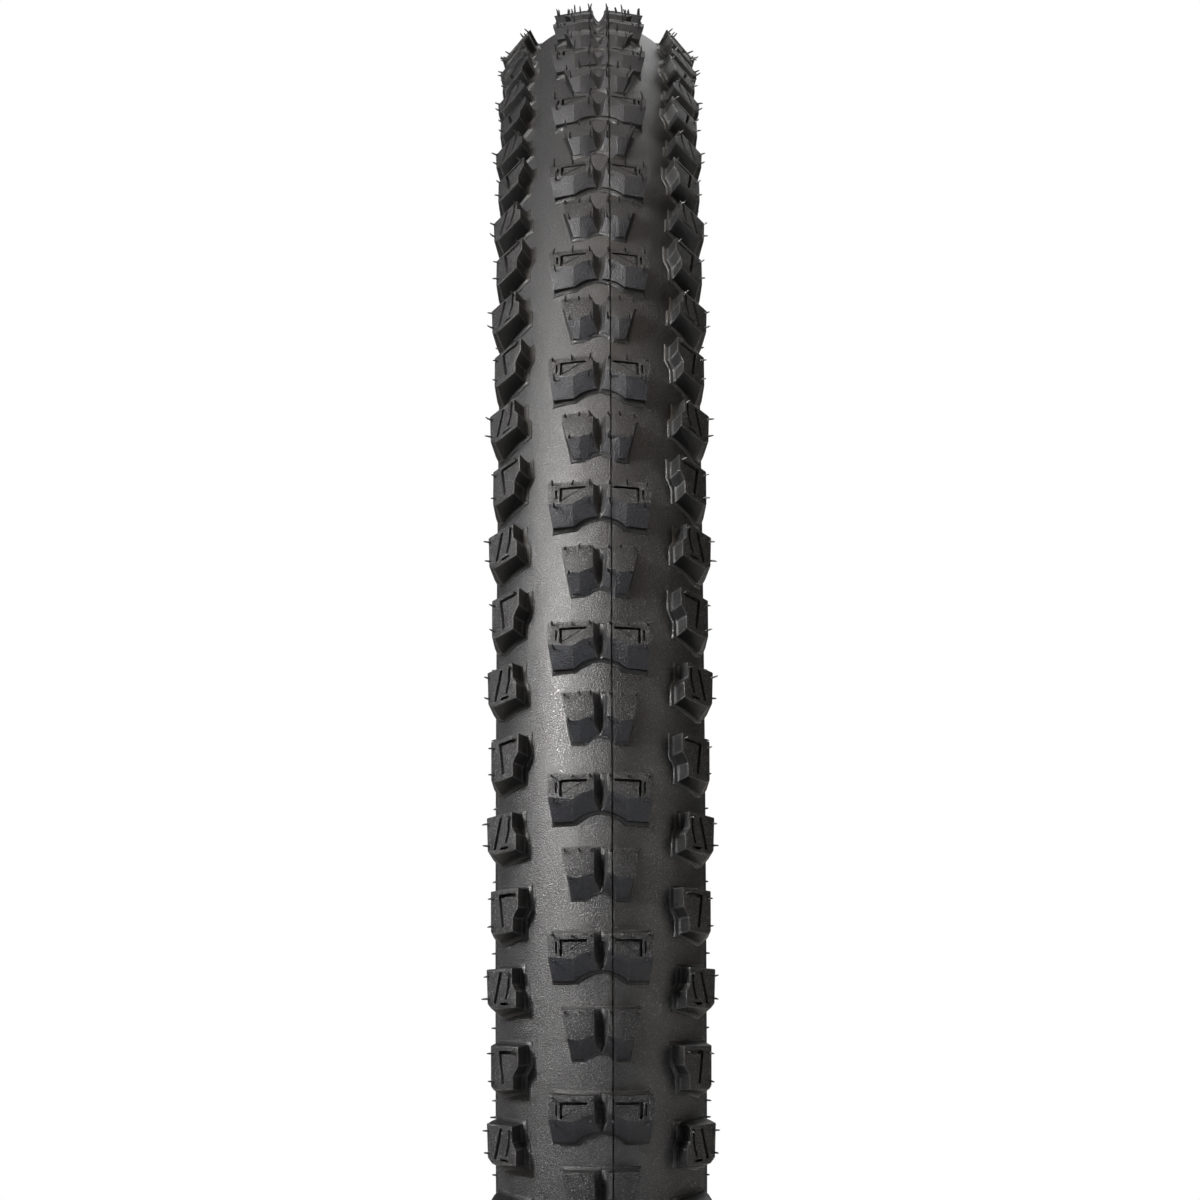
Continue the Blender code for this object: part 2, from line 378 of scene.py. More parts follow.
@dataclass(frozen=True)
class Cord:
    """A bundle of bare yarn."""

    name: str
    colour: Colour
    shadow: Colour

    def material(self) -> bpy.types.Material:
        """Builds the material."""
        paint = Paint(self.name)
        place = paint.place()
        yarn = paint.noise(place, 0.0003, 4.0)
        clouds = paint.noise(place, 0.01, 2.0)
        return paint.finish({
            "Base Color": paint.blend((yarn * 0.8 + clouds * 0.4).rise(0.4, 0.8), self.shadow, self.colour),
            "Roughness": 0.55 + (yarn - 0.5) * 0.3,
            "Normal": paint.relief(yarn, 0.00008),
        })


@dataclass(frozen=True)
class FloorPaint:
    """Matt pale studio floor."""

    name: str = "pale_floor"
    colour: Colour = (0.62, 0.62, 0.61)

    def material(self) -> bpy.types.Material:
        """Builds the material."""
        paint = Paint(self.name)
        clouds = paint.noise(paint.place(), 0.4, 2.0)
        return paint.finish({
            "Base Color": paint.blend(clouds * 0.2, self.colour, (0.57, 0.57, 0.56)),
            "Roughness": 0.85,
        })


SEAM = 3.4


def tread_rubber(name: str, colour: Colour, bloom: Colour, roughness: float, **looks: float) -> Rubber:
    """A rubber of the tread, with painted shade as a dark line along the mould's seam and on the half
    beyond it.

    Args:
        name: the material's name.
        colour: the bare rubber.
        bloom: the dusty rubber.
        roughness: how matt it is.
        looks: what else differs from plain rubber.

    Returns:
        The finish.
    """
    return Rubber(name, colour, bloom, roughness, shade_from=SEAM * MM, seam_shade_share=0.95, **looks)


# The ramp, top and wall rubbers are copies of the tread rubber with painted light and shade: the ramps
# tinted blue for the cool light from below, the tops and walls darker for the shade that falls on them.
BODY_RUBBER = tread_rubber("tread_rubber", (0.0036, 0.0037, 0.0040), (0.016, 0.0162, 0.0172), 0.41,
                           dark_share=0.62, speck_share=0.60)
COOL_LIT_RAMP_RUBBER = tread_rubber("cool_lit_ramp_rubber", (0.0030, 0.0033, 0.0045), (0.0125, 0.0137, 0.0182), 0.48,
                           sheen=0.34, speck_share=0.10, dark_share=0.15)
SHADED_CROWN_RUBBER = tread_rubber("shaded_block_top_rubber", (0.0012, 0.0013, 0.0014), (0.0105, 0.0106, 0.0114), 0.52,
                            sheen=0.34, speck_share=0.80, dark_share=0.40)
SHADED_WALL_RUBBER = tread_rubber("shaded_block_wall_rubber", (0.0014, 0.0014, 0.0015), (0.0068, 0.0069, 0.0074), 0.50,
                           relief=0.00003, sheen=0.32, speck_share=0.0, dark_share=0.25)
SIDE_RUBBER = Rubber("sidewall_rubber", (0.0036, 0.0037, 0.0042), (0.017, 0.0173, 0.0188), roughness=0.44)
BASE_RUBBER = Rubber("undertread_rubber", (0.020, 0.019, 0.018), (0.040, 0.038, 0.036), roughness=0.6)
APEX_RUBBER = Rubber("apex_rubber", (0.022, 0.021, 0.020), (0.038, 0.036, 0.034), roughness=0.6)
VENT_RUBBER = Rubber("vent_rubber", (0.010, 0.010, 0.011), (0.022, 0.022, 0.024),
                     roughness=0.42, grain=0.0003, relief=0.00003)
LINER_RUBBER = Rubber("liner_butyl", (0.016, 0.016, 0.017), (0.030, 0.030, 0.031),
                      roughness=0.36, grain=0.0016, relief=0.00005)
PLY_CLOTH = Cloth("casing_fabric", (0.30, 0.26, 0.19), (0.05, 0.045, 0.04), 0.0011, 0.785, 0.34)
ARMOUR_CLOTH = Cloth("armour_fabric", (0.34, 0.34, 0.33), (0.05, 0.05, 0.05), 0.0014, 0.785, 0.34)
CHAFER_CLOTH = Cloth("chafer_fabric", (0.040, 0.040, 0.041), (0.014, 0.014, 0.015), 0.0013, 0.0, 0.30,
                     relief=0.00018, roughness=0.55)
CORE_CORD = Cord("bead_aramid", (0.55, 0.42, 0.15), (0.25, 0.17, 0.05))


# --------------------------------------------------------------------------------------
# Cross-section
# --------------------------------------------------------------------------------------


def spaced(start: float, end: float, step: float) -> np.ndarray:
    """Even values from start to end, about a step apart, with both ends."""
    return np.linspace(start, end, max(2, int(math.ceil(abs(end - start) / step)) + 1))


def curve(points: Sequence[Point], count: int) -> np.ndarray:
    """A cubic Bezier curve.

    Args:
        points: its four control points.
        count: how many points are read off it.

    Returns:
        The points on it, one row each.
    """
    t = np.linspace(0.0, 1.0, count)[:, None]
    a, b, c, d = (np.array(p, float) for p in points)
    return (1 - t) ** 3 * a + 3 * (1 - t) ** 2 * t * b + 3 * (1 - t) * t ** 2 * c + t ** 3 * d


def normals_of(path: np.ndarray) -> np.ndarray:
    """Unit normals on the left of a path as one walks along it."""
    way = np.gradient(path, axis=0)
    way /= np.linalg.norm(way, axis=1)[:, None]
    return np.stack([-way[:, 1], way[:, 0]], axis=1)


def ribbon(path: np.ndarray, thickness: float) -> np.ndarray:
    """A closed outline of even thickness.

    Args:
        path: its middle line.
        thickness: how thick it is.

    Returns:
        The outline.
    """
    side = normals_of(path) * thickness / 2.0
    return np.concatenate([path + side, (path - side)[::-1]])


def mirrored(path: np.ndarray) -> np.ndarray:
    """The path from the left end, over the crown, to the right end."""
    return np.concatenate([(path * (-1.0, 1.0))[:0:-1], path])


@dataclass(frozen=True)
class Section:
    """The tire's cross-section in millimetres: width from the middle, radius from the axle."""

    outer_radius: float
    knob_height: float = 4.2
    casing_radius: float = 31.0
    tread_edge: float = math.radians(35.0)
    shoulder_edge: float = math.radians(75.0)
    widest_edge: float = math.radians(112.0)
    flank: float = 15.0
    flank_top: float = 301.2
    bead: Point = (11.0, 296.0)
    leg_top: float = 299.5

    @property
    def crown_end(self) -> float:
        """The station where the centre tread ends."""
        return self.casing_radius * self.tread_edge

    @property
    def shoulder_end(self) -> float:
        """The station where the shoulder tread ends and the sidewall starts."""
        return self.casing_radius * self.shoulder_edge

    @property
    def centre(self) -> float:
        """The radius at which the round casing has its middle."""
        return self.outer_radius - self.knob_height - self.casing_radius

    def on_casing(self, angle: float, height: float = 0.0) -> Point:
        """A point at an angle from the crown, at a height over the round casing."""
        reach = self.casing_radius + height
        return reach * math.sin(angle), self.centre + reach * math.cos(angle)

    def skin(self) -> np.ndarray:
        """The outer line of the right half, from the crown to the top of the bead's flank."""
        arc = [self.on_casing(a) for a in spaced(0.0, self.widest_edge, math.radians(3.0))]
        start = arc[-1]
        pull = 6.0
        leave = (start[0] + pull * math.cos(self.widest_edge), start[1] - pull * math.sin(self.widest_edge))
        end = (self.flank + 1.3, self.flank_top)
        arrive = (end[0] + 5.0, end[1] + 1.4)
        return np.concatenate([np.array(arc[:-1]), curve([start, leave, arrive, end], 12)])

    def stations(self) -> np.ndarray:
        """How far each point of the skin is from the crown, measured along it."""
        steps = np.linalg.norm(np.diff(self.skin(), axis=0), axis=1)
        return np.concatenate([[0.0], np.cumsum(steps)])

    def along(self, start: float, end: float, depth: float, step: float = 1.6) -> np.ndarray:
        """A line under the skin of the right half.

        Args:
            start: the station where it starts.
            end: the station where it ends; minus counts from the flank's top.
            depth: how deep it lies.
            step: about how far apart its points are.

        Returns:
            Its points.
        """
        stations = self.stations()
        last = stations[-1] + end if end <= 0.0 else end
        first = stations[-1] + start if start < 0.0 else start
        at = spaced(first, last, step)
        skin = self.skin()
        inward = -normals_of(skin)
        line = np.stack([np.interp(at, stations, skin[:, i]) for i in range(2)], axis=1)
        turn = np.stack([np.interp(at, stations, inward[:, i]) for i in range(2)], axis=1)
        turn /= np.linalg.norm(turn, axis=1)[:, None]
        return line + turn * depth

    def leg(self, start: np.ndarray, reach: float, foot: float) -> np.ndarray:
        """The line from the casing wall down the chamber's side of the bead.

        Args:
            start: where the wall's own line ends.
            reach: how far from the bead's middle the line runs.
            foot: the radius where it ends.

        Returns:
            Its points.
        """
        width = self.bead[0] - reach
        top = (width, self.leg_top)
        bend = curve([start, (start[0] - 3.2, start[1] - 1.0), (width, top[1] + 3.4), top], 9)
        fall = [(width, r) for r in spaced(top[1], foot, 1.5)[1:]]
        return np.concatenate([bend[1:], np.array(fall)])

    def under_bead(self, reach: float, corner: float) -> np.ndarray:
        """The line under the bead, from its chamber side to its rim side.

        Args:
            reach: how far from the bead's middle it runs.
            corner: the radius of its two corners.

        Returns:
            Its points.
        """
        v, r = self.bead
        turns = [math.radians(a) for a in (180, 198, 216, 234, 252, 270)]
        inner = [(v - reach + corner + corner * math.cos(a), r - reach + corner + corner * math.sin(a))
                 for a in turns]
        outer = [(2 * v - p[0], p[1]) for p in reversed(inner)]
        return np.array(inner + outer)


# --------------------------------------------------------------------------------------
# Turned pieces
# --------------------------------------------------------------------------------------


class Side(IntEnum):
    """The two sides of the tire, as the sign of their width."""

    LEFT = -1
    RIGHT = 1

    @property
    def word(self) -> str:
        """The side's name in a piece's name."""
        return self.name.lower()


def dress(mesh: bpy.types.Mesh) -> None:
    """Shades a mesh smooth and keeps its edges crisp."""
    mesh.shade_smooth()
    mesh.set_sharp_from_angle(angle=SHARP_ANGLE)


def shown(name: str, mesh: bpy.types.Mesh) -> bpy.types.Object:
    """Puts a mesh into the scene as an object."""
    made = bpy.data.objects.new(name, mesh)
    bpy.context.scene.collection.objects.link(made)
    return made


def polar(angle: np.ndarray, width: np.ndarray, radius: np.ndarray) -> np.ndarray:
    """Places in metres of points given round the wheel, with width and radius in millimetres."""
    return np.stack([radius * np.cos(angle), width, radius * np.sin(angle)], axis=1) * MM


def swept(name: str, points: np.ndarray, steps: int) -> bpy.types.Mesh:
    """Skins a tube that runs once round the wheel.

    Args:
        name: the mesh's name.
        points: its places, one section after another.
        steps: how many sections it has.

    Returns:
        The closed mesh.
    """
    count = len(points) // steps
    ring = np.arange(steps)[:, None] * count
    ahead = (np.arange(steps)[:, None] + 1) % steps * count
    here = np.arange(count)[None, :]
    there = (here + 1) % count
    quads = np.stack([ring + here, ring + there, ahead + there, ahead + here], axis=2).reshape(-1, 4)
    mesh = bpy.data.meshes.new(name)
    mesh.from_pydata(points.tolist(), [], quads.tolist())
    dress(mesh)
    return mesh


def turned(name: str, outline: np.ndarray, steps: int) -> bpy.types.Mesh:
    """Spins a closed outline about the axle.

    Args:
        name: the mesh's name.
        outline: widths and radii in millimetres.
        steps: how many steps make the full turn.

    Returns:
        The closed mesh.
    """
    after = np.roll(outline, -1, axis=0)
    area = np.sum(outline[:, 0] * after[:, 1] - after[:, 0] * outline[:, 1])
    if area > 0:
        outline = outline[::-1]
    angle = np.repeat(np.arange(steps) * math.tau / steps, len(outline))
    around = np.tile(outline, (steps, 1))
    return swept(name, polar(angle, around[:, 0], around[:, 1]), steps)


@dataclass
class Ring:
    """One turned piece of the tire, and the part that it stands for."""

    node: str
    slot: str
    outline: np.ndarray
    finish: bpy.types.Material
    steps: int = RING_STEPS

    def build(self) -> bpy.types.Object:
        """Builds and dresses the piece.

        Returns:
            The finished piece, riding on the tire.
        """
        name = self.node + "_shape"
        piece = shown(name, turned(name, self.outline, self.steps))
        piece.data.materials.append(self.finish)
        return placed(piece, self.slot, self.node)


def placed(piece: bpy.types.Object, slot: str, *nodes: str) -> bpy.types.Object:
    """Hands a piece to the frame.

    Args:
        piece: the finished piece.
        slot: the finish that it takes; not used.
        nodes: the plain solids that it stands for.

    Returns:
        The same piece.
    """
    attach(piece, "root")
    if nodes:
        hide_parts(*nodes)
    log.info("%s: %d points", piece.name, len(piece.data.vertices))
    return piece


@dataclass
class Casing:
    """The layers between the tread and the air: undertread, breaker, two plies and the liner."""

    section: Section
    ply: bpy.types.Material
    armour: bpy.types.Material
    undertread: bpy.types.Material
    liner: bpy.types.Material
    base_depth: float = 2.1
    breaker_depth: float = 2.9
    outer_ply_depth: float = 3.6
    inner_ply_depth: float = 4.3
    liner_depth: float = 4.95
    fabric: float = 0.38
    base_thickness: float = 0.55
    liner_thickness: float = 0.3
    turn_up_depth: float = 2.9
    turn_up: float = -14.0

    def full_width(self, depth: float, end: float) -> np.ndarray:
        """A line under the skin from one side to the other."""
        return mirrored(self.section.along(0.0, end, depth))

    def wall(self, depth: float, reach: float, foot: float) -> np.ndarray:
        """A line from the crown down to the chamber's side of the bead."""
        wall = self.section.along(0.0, -3.0, depth)
        return np.concatenate([wall, self.section.leg(wall[-1], reach, foot)])

    def outer_ply_line(self) -> np.ndarray:
        """The outer ply's line: round the bead and back up the wall."""
        wall = self.wall(self.outer_ply_depth, 2.8, 296.0)
        hook = self.section.under_bead(2.8, 1.6)
        back = self.section.along(-3.6, self.turn_up, self.turn_up_depth)
        rise = curve([hook[-1], (hook[-1][0], 301.5), (back[0][0] - 2.2, back[0][1] - 0.6), back[0]], 9)
        return np.concatenate([wall, hook[1:], rise[1:], back[1:]])

    def build(self) -> None:
        """Builds the five layers."""
        base = self.full_width(self.base_depth, self.section.shoulder_end - 1.0)
        breaker = self.full_width(self.breaker_depth, self.section.crown_end + 2.0)
        outer = mirrored(self.outer_ply_line())
        inner = mirrored(self.wall(self.inner_ply_depth, 3.5, 293.2))
        liner = mirrored(self.wall(self.liner_depth, 4.12, 293.4))
        layers = (
            ("tread_base", "undertread_rubber", base, self.base_thickness, self.undertread),
            ("breaker_belt", "armour_fabric", breaker, self.fabric, self.armour),
            ("casing_ply_outer", "casing_fabric", outer, self.fabric, self.ply),
            ("casing_ply_inner", "casing_fabric", inner, self.fabric, self.ply),
            ("inner_liner", "liner_butyl", liner, self.liner_thickness, self.liner),
        )
        for node, slot, line, thickness, finish in layers:
            Ring(node, slot, ribbon(line, thickness), finish).build()


@dataclass
class Sidewall:
    """One sidewall: its rubber with the fitting lines, the armour under it and the chafer."""

    section: Section
    side: Side
    rubber: bpy.types.Material
    armour: bpy.types.Material
    chafer: bpy.types.Material
    thickness: float = 1.2
    chafer_thickness: float = 0.7
    armour_depth: float = 1.9
    armour_thickness: float = 0.6
    chafer_from: float = -5.5
    fitting_lines: tuple[float, ...] = (-12.0, -9.6, -7.8)
    line_height: float = 0.42
    line_half: float = 0.38
    fine_ribs: tuple[float, ...] = (1.6, 2.8, 4.0)
    fine_half: float = 0.30
    fine_share: float = 0.5
    skin_step: float = 0.3

    @staticmethod
    def bump(distance: np.ndarray, half: float) -> np.ndarray:
        """A smooth rise of height 1 where the distance is 0."""
        return np.exp(-((distance / half) ** 2))

    def raised(self, station: np.ndarray) -> np.ndarray:
        """How far the skin stands proud along the fitting lines and the fine ribs under the tread."""
        last = self.section.stations()[-1]
        start = self.section.shoulder_end
        lines = [self.bump(station - last - at, self.line_half) for at in self.fitting_lines]
        ribs = [self.bump(station - start - at, self.fine_half) * self.fine_share for at in self.fine_ribs]
        return self.line_height * (sum(lines) + sum(ribs))

    def wall_outline(self) -> np.ndarray:
        """The sidewall rubber's outline, on the right."""
        start = self.section.shoulder_end
        outer = self.section.along(start, self.chafer_from, 0.0, self.skin_step)
        at = spaced(start, self.section.stations()[-1] + self.chafer_from, self.skin_step)
        outer = outer + normals_of(outer) * self.raised(at)[:, None]
        inner = self.section.along(start, self.chafer_from, self.thickness)
        return np.concatenate([outer, inner[::-1]])

    def chafer_outline(self) -> np.ndarray:
        """The chafer's outline, on the right: down the flank and under the bead."""
        half = self.chafer_thickness / 2.0
        top = self.section.along(self.chafer_from, -0.01, half, 0.8)
        reach = self.section.flank - self.section.bead[0] - half
        hook = self.section.under_bead(reach, 1.9)[::-1]
        flank = (hook[0][0], top[-1][1] - 1.9)
        bend = curve([top[-1], (top[-1][0] - 0.9, top[-1][1] - 0.1), (flank[0], flank[1] + 0.9), flank], 6)
        drop = np.array([(flank[0], r) for r in spaced(flank[1], hook[0][1], 0.9)[1:-1]])
        toe = hook[: len(hook) - 3]
        return ribbon(np.concatenate([top, bend[1:], drop, toe]), self.chafer_thickness)

    def armour_outline(self) -> np.ndarray:
        """The armour strip's outline, on the right."""
        start = self.section.shoulder_end + 0.5
        line = self.section.along(start, self.chafer_from - 1.0, self.armour_depth)
        return ribbon(line, self.armour_thickness)

    def build(self) -> None:
        """Builds the side's three pieces."""
        flip = (float(self.side), 1.0)
        word = self.side.word
        parts = (
            ("sidewall_", "sidewall_rubber", self.wall_outline(), self.rubber, SIDEWALL_STEPS),
            ("sidewall_armour_", "armour_fabric", self.armour_outline(), self.armour, RING_STEPS),
            ("chafer_", "sidewall_rubber", self.chafer_outline(), self.chafer, SIDEWALL_STEPS),
        )
        for name, slot, outline, finish, steps in parts:
            Ring(name + word, slot, outline * flip, finish, steps).build()


@dataclass
class Bead:
    """One bead: its twisted core, the wrap round it and the rubber wedge above it."""

    section: Section
    side: Side
    cord: bpy.types.Material
    wrap: bpy.types.Material
    apex: bpy.types.Material
    core_radius: float = 1.6
    strands: int = 6
    twists: int = 120
    around: int = 36
    lobe: float = 0.16
    wrap_reach: float = 2.1
    wrap_corner: float = 1.7
    wrap_height: float = 2.6
    wrap_thickness: float = 0.36
    wrap_step: float = 0.9

    def core_mesh(self, name: str) -> bpy.types.Mesh:
        """The twisted cable: a lobed section that turns as it runs round the wheel."""
        steps = SIDEWALL_STEPS * 4
        angle = np.repeat(np.arange(steps) * math.tau / steps, self.around)
        phase = np.tile(np.arange(self.around) * math.tau / self.around, steps)
        lobes = np.abs(np.cos((phase * self.strands + angle * self.twists) / 2.0))
        reach = self.core_radius * (1.0 - self.lobe + self.lobe * lobes)
        width = self.side * (self.section.bead[0] + reach * np.sin(phase))
        radius = self.section.bead[1] + reach * np.cos(phase)
        mesh = swept(name, polar(angle, width, radius), steps)
        if self.side == Side.LEFT:
            mesh.flip_normals()
        return mesh

    def wrap_outline(self) -> np.ndarray:
        """The wrap's outline, on the right: a hook open at the top."""
        hook = self.section.under_bead(self.wrap_reach, self.wrap_corner)
        top = self.section.bead[1] + self.wrap_height
        first = np.array([(hook[0][0], r) for r in spaced(top, hook[0][1], self.wrap_step)[:-1]])
        last = np.array([(hook[-1][0], r) for r in spaced(hook[-1][1], top, self.wrap_step)[1:]])
        return ribbon(np.concatenate([first, hook, last]), self.wrap_thickness)

    def apex_outline(self) -> np.ndarray:
        """The wedge's outline, on the right."""
        v, r = self.section.bead
        return np.array([(v - 1.7, r + 2.0), (v + 1.7, r + 2.0), (v + 1.9, r + 4.4), (v + 1.8, r + 6.2),
                         (v + 1.4, r + 6.6), (v + 0.6, r + 5.4), (v - 0.6, r + 3.8)])

    def build(self) -> None:
        """Builds the bead's three pieces."""
        flip = (float(self.side), 1.0)
        word = self.side.word
        name = "bead_core_" + word
        core = shown(name + "_shape", self.core_mesh(name + "_shape"))
        core.data.materials.append(self.cord)
        placed(core, "bead_aramid", name)
        Ring("bead_wrap_" + word, "armour_fabric", self.wrap_outline() * flip, self.wrap).build()
        Ring("apex_filler_" + word, "apex_rubber", self.apex_outline() * flip, self.apex).build()


# --------------------------------------------------------------------------------------
# Tread blocks
# --------------------------------------------------------------------------------------


class Face(IntEnum):
    """Which finish a face of the tread takes, as its place among the materials."""

    # Each finish after BODY is a lit or shaded copy of the tread rubber: painted light on the ramps,
    # painted shade on the tops and walls.
    BODY = 0
    RAMP = 1
    CROWN = 2
    WALL = 3


class Cut(Enum):
    """What a tool does to the body that it meets."""

    JOIN = "UNION"
    REMOVE = "DIFFERENCE"


@dataclass(frozen=True)
class Slice:
    """A plane through three points that takes off what lies above it.

    Where it isn't upward, it takes off what lies ahead of its own normal instead.
    """

    face: Face
    points: tuple[tuple[float, float, float], ...]
    upward: bool = True

    def cut(self, bm: bmesh.types.BMesh) -> None:
        """Cuts a closed mesh and closes it again with a face of this slice's finish."""
        first, second, third = (Vector(p) for p in self.points)
        normal = (second - first).cross(third - first).normalized()
        if self.upward and normal.z < 0.0:
            normal.negate()
        geometry = bm.verts[:] + bm.edges[:] + bm.faces[:]
        done = bmesh.ops.bisect_plane(bm, geom=geometry, dist=1e-5, plane_co=first, plane_no=normal,
                                      clear_outer=True)
        rim = [e for e in done["geom_cut"] if isinstance(e, bmesh.types.BMEdge)]
        bmesh.ops.edgeloop_fill(bm, edges=rim, mat_nr=int(self.face))


# Keeps the foot of a centre block on its own side of the mirror plane.
MIDDLE_SLICE = Slice(Face.BODY, ((0.0, 0.0, 0.0), (0.0, 0.0, 1.0), (0.0, 1.0, 0.0)), upward=False)


@dataclass(frozen=True)
class Facing:
    """The plane of a block's top: a point on it and how far it leans outwards."""

    width: float = 0.0
    radius: float = 356.6
    lean: float = 0.0

    def at(self, across: float, along: float, out: float) -> Vector:
        """A point given across the top, along the tread and out of the top."""
        sine, cosine = math.sin(self.lean), math.cos(self.lean)
        return Vector((self.width + across * cosine + out * sine, along,
                       self.radius - across * sine + out * cosine))


@dataclass(frozen=True)
class Bar:
    """A narrow slot in a block's top, with round ends."""

    start: Point
    end: Point
    width: float = 0.85
    depth: float = 1.7
    clearance: float = 3.0

    def tool(self, facing: Facing, station: float) -> bmesh.types.BMesh:
        """The solid that cuts the slot.

        Args:
            facing: the plane of the block's top.
            station: where along the tread the block's middle is.

        Returns:
            The closed mesh.
        """
        heading = math.atan2(self.end[1] - self.start[1], self.end[0] - self.start[0])
        half = self.width / 2.0
        rim = []
        for middle, quarter in ((self.end, -90.0), (self.start, 90.0)):
            for turn in (0.0, 45.0, 90.0, 135.0, 180.0):
                angle = heading + math.radians(quarter + turn)
                rim.append((middle[0] + half * math.cos(angle), middle[1] + half * math.sin(angle)))
        levels = (-self.depth, self.clearance)
        return lofted([[facing.at(a, station + u, out) for a, u in rim] for out in levels])


def lofted(loops: Sequence[Sequence[Vector]]) -> bmesh.types.BMesh:
    """Skins a stack of loops and closes both ends.

    Args:
        loops: the loops from the bottom up, all with the same number of points.

    Returns:
        The closed mesh.
    """
    bm = bmesh.new()
    rows = [[bm.verts.new(p) for p in loop] for loop in loops]
    count = len(rows[0])
    for low, high in zip(rows, rows[1:]):
        for i in range(count):
            j = (i + 1) % count
            bm.faces.new((low[i], low[j], high[j], high[i]))
    bm.faces.new(list(reversed(rows[0])))
    bm.faces.new(rows[-1])
    bmesh.ops.recalc_face_normals(bm, faces=bm.faces)
    return bm


def spread(outline: Sequence[Point], distances: Sequence[float]) -> list[Point]:
    """Moves each side of a closed outline outwards by its own distance.

    Args:
        outline: its corners, anticlockwise.
        distances: how far the side after each corner moves.

    Returns:
        The new corners.
    """
    count = len(outline)
    sides = [Vector(outline[(i + 1) % count]) - Vector(outline[i]) for i in range(count)]
    outward = [Vector((d.y, -d.x)).normalized() for d in sides]
    moved = []
    for i in range(count):
        first, second = outward[i - 1], outward[i]
        pair = Matrix((first, second))
        if abs(pair.determinant()) < 1e-3:
            step = second * distances[i]
        else:
            step = pair.inverted() @ Vector((distances[i - 1], distances[i]))
        moved.append((outline[i][0] + step.x, outline[i][1] + step.y))
    return moved


@dataclass(frozen=True)
class Block:
    """One tread block: an outline on the casing, drawn up to its top and cut by planes.

    Outlines are in millimetres: the first number runs over the casing from the crown, the second along
    the tread from the block's middle, backwards positive. Each row of the flare has a height, how far the
    foot spreads at it, and how far it spreads on the sides towards the channel.
    """

    name: str
    station: float
    crown: tuple[Point, ...]
    foot: tuple[Point, ...]
    height: float
    slices: tuple[Slice, ...]
    bars: tuple[Bar, ...] = ()
    facing: Facing = Facing()
    channel_sides: tuple[int, ...] = ()
    edge: float = 0.38
    blunt_angle: float = math.radians(17.0)
    rim_from: float = 1.15
    wall_from: float = 0.40
    wall_foot: float = 1.40
    channel_edge: float = 2.4
    flare: tuple[tuple[float, float, float], ...] = (
        (-0.60, 1.25, 2.20), (0.15, 1.00, 1.90), (0.45, 0.68, 1.48), (0.62, 0.30, 1.25), (0.85, 0.06, 1.02),
        (1.40, 0.00, 0.62), (2.20, 0.00, 0.22), (3.00, 0.00, 0.00))
    side_step: float = 2.6

    def loops(self, section: Section) -> list[list[Vector]]:
        """The block's loops from inside the casing to over its top.

        Args:
            section: the cross-section that it stands on.

        Returns:
            One list of points for each loop.
        """
        count = len(self.foot)
        outlines = []
        for height, share, channel in self.flare:
            reach = [channel if i in self.channel_sides else share for i in range(count)]
            rise = max(0.0, (height - self.wall_foot) / (self.height - self.wall_foot))
            level = [Vector(low).lerp(Vector(top), rise) for low, top in zip(self.foot, self.crown)]
            outlines.append((height, spread(level, reach)))
        outlines.append((self.height, list(self.crown)))
        pieces = []
        for i in range(count):
            length = (Vector(self.foot[(i + 1) % count]) - Vector(self.foot[i])).length
            pieces.append(max(1, math.ceil(length / self.side_step)))
        made = []
        for height, outline in outlines:
            loop = []
            for i in range(count):
                here, there = Vector(outline[i]), Vector(outline[(i + 1) % count])
                for k in range(pieces[i]):
                    s, u = here.lerp(there, k / pieces[i])
                    v, r = section.on_casing(s / section.casing_radius, height)
                    loop.append(Vector((v, self.station + u, r)))
            made.append(loop)
        return made

    @staticmethod
    def above(bm: bmesh.types.BMesh, section: Section, height: float) -> set[bmesh.types.BMVert]:
        """The corners that stand above a height over the casing."""
        return {v for v in bm.verts
                if math.hypot(v.co.x, v.co.z - section.centre) - section.casing_radius > height}

    def soften(self, bm: bmesh.types.BMesh, section: Section) -> None:
        """Rounds the block's edges above its foot."""
        high = self.above(bm, section, self.rim_from)
        edges = [e for e in bm.edges
                 if len(e.link_faces) == 2
                 and e.calc_face_angle() > self.blunt_angle
                 and (e.verts[0] in high or e.verts[1] in high)]
        bmesh.ops.bevel(bm, geom=edges, offset=self.edge, offset_type="OFFSET", segments=2,
                        profile=0.6, affect="EDGES", clamp_overlap=True)

    def build(self, section: Section, finishes: Sequence[bpy.types.Material]) -> bpy.types.Object:
        """Builds the block with its slots cut.

        Args:
            section: the cross-section that it stands on.
            finishes: the tread's materials.

        Returns:
            The block, not yet joined to the band.
        """
        bm = lofted(self.loops(section))
        wall = self.above(bm, section, self.wall_from)
        # Walls above the foot, except the channel's sides, take the darker wall rubber: painted shade.
        for face in bm.faces:
            if wall.issuperset(face.verts) and max(v.co.x for v in face.verts) > self.channel_edge:
                face.material_index = Face.WALL
        for slice_ in self.slices:
            slice_.cut(bm)
        if self.channel_sides:
            MIDDLE_SLICE.cut(bm)
        bmesh.ops.dissolve_degenerate(bm, dist=1e-4, edges=bm.edges)
        self.soften(bm, section)
        body = workpiece(self.name, bm, finishes)
        tools = [workpiece(self.name + "_slot", bar.tool(self.facing, self.station), finishes)
                 for bar in self.bars]
        return worked(body, tools, Cut.REMOVE) if tools else body


def workpiece(name: str, bm: bmesh.types.BMesh,
              finishes: Sequence[bpy.types.Material]) -> bpy.types.Object:
    """Makes an object of a mesh in the making, and frees the latter."""
    mesh = bpy.data.meshes.new(name)
    bm.to_mesh(mesh)
    bm.free()
    for finish in finishes:
        mesh.materials.append(finish)
    return shown(name, mesh)


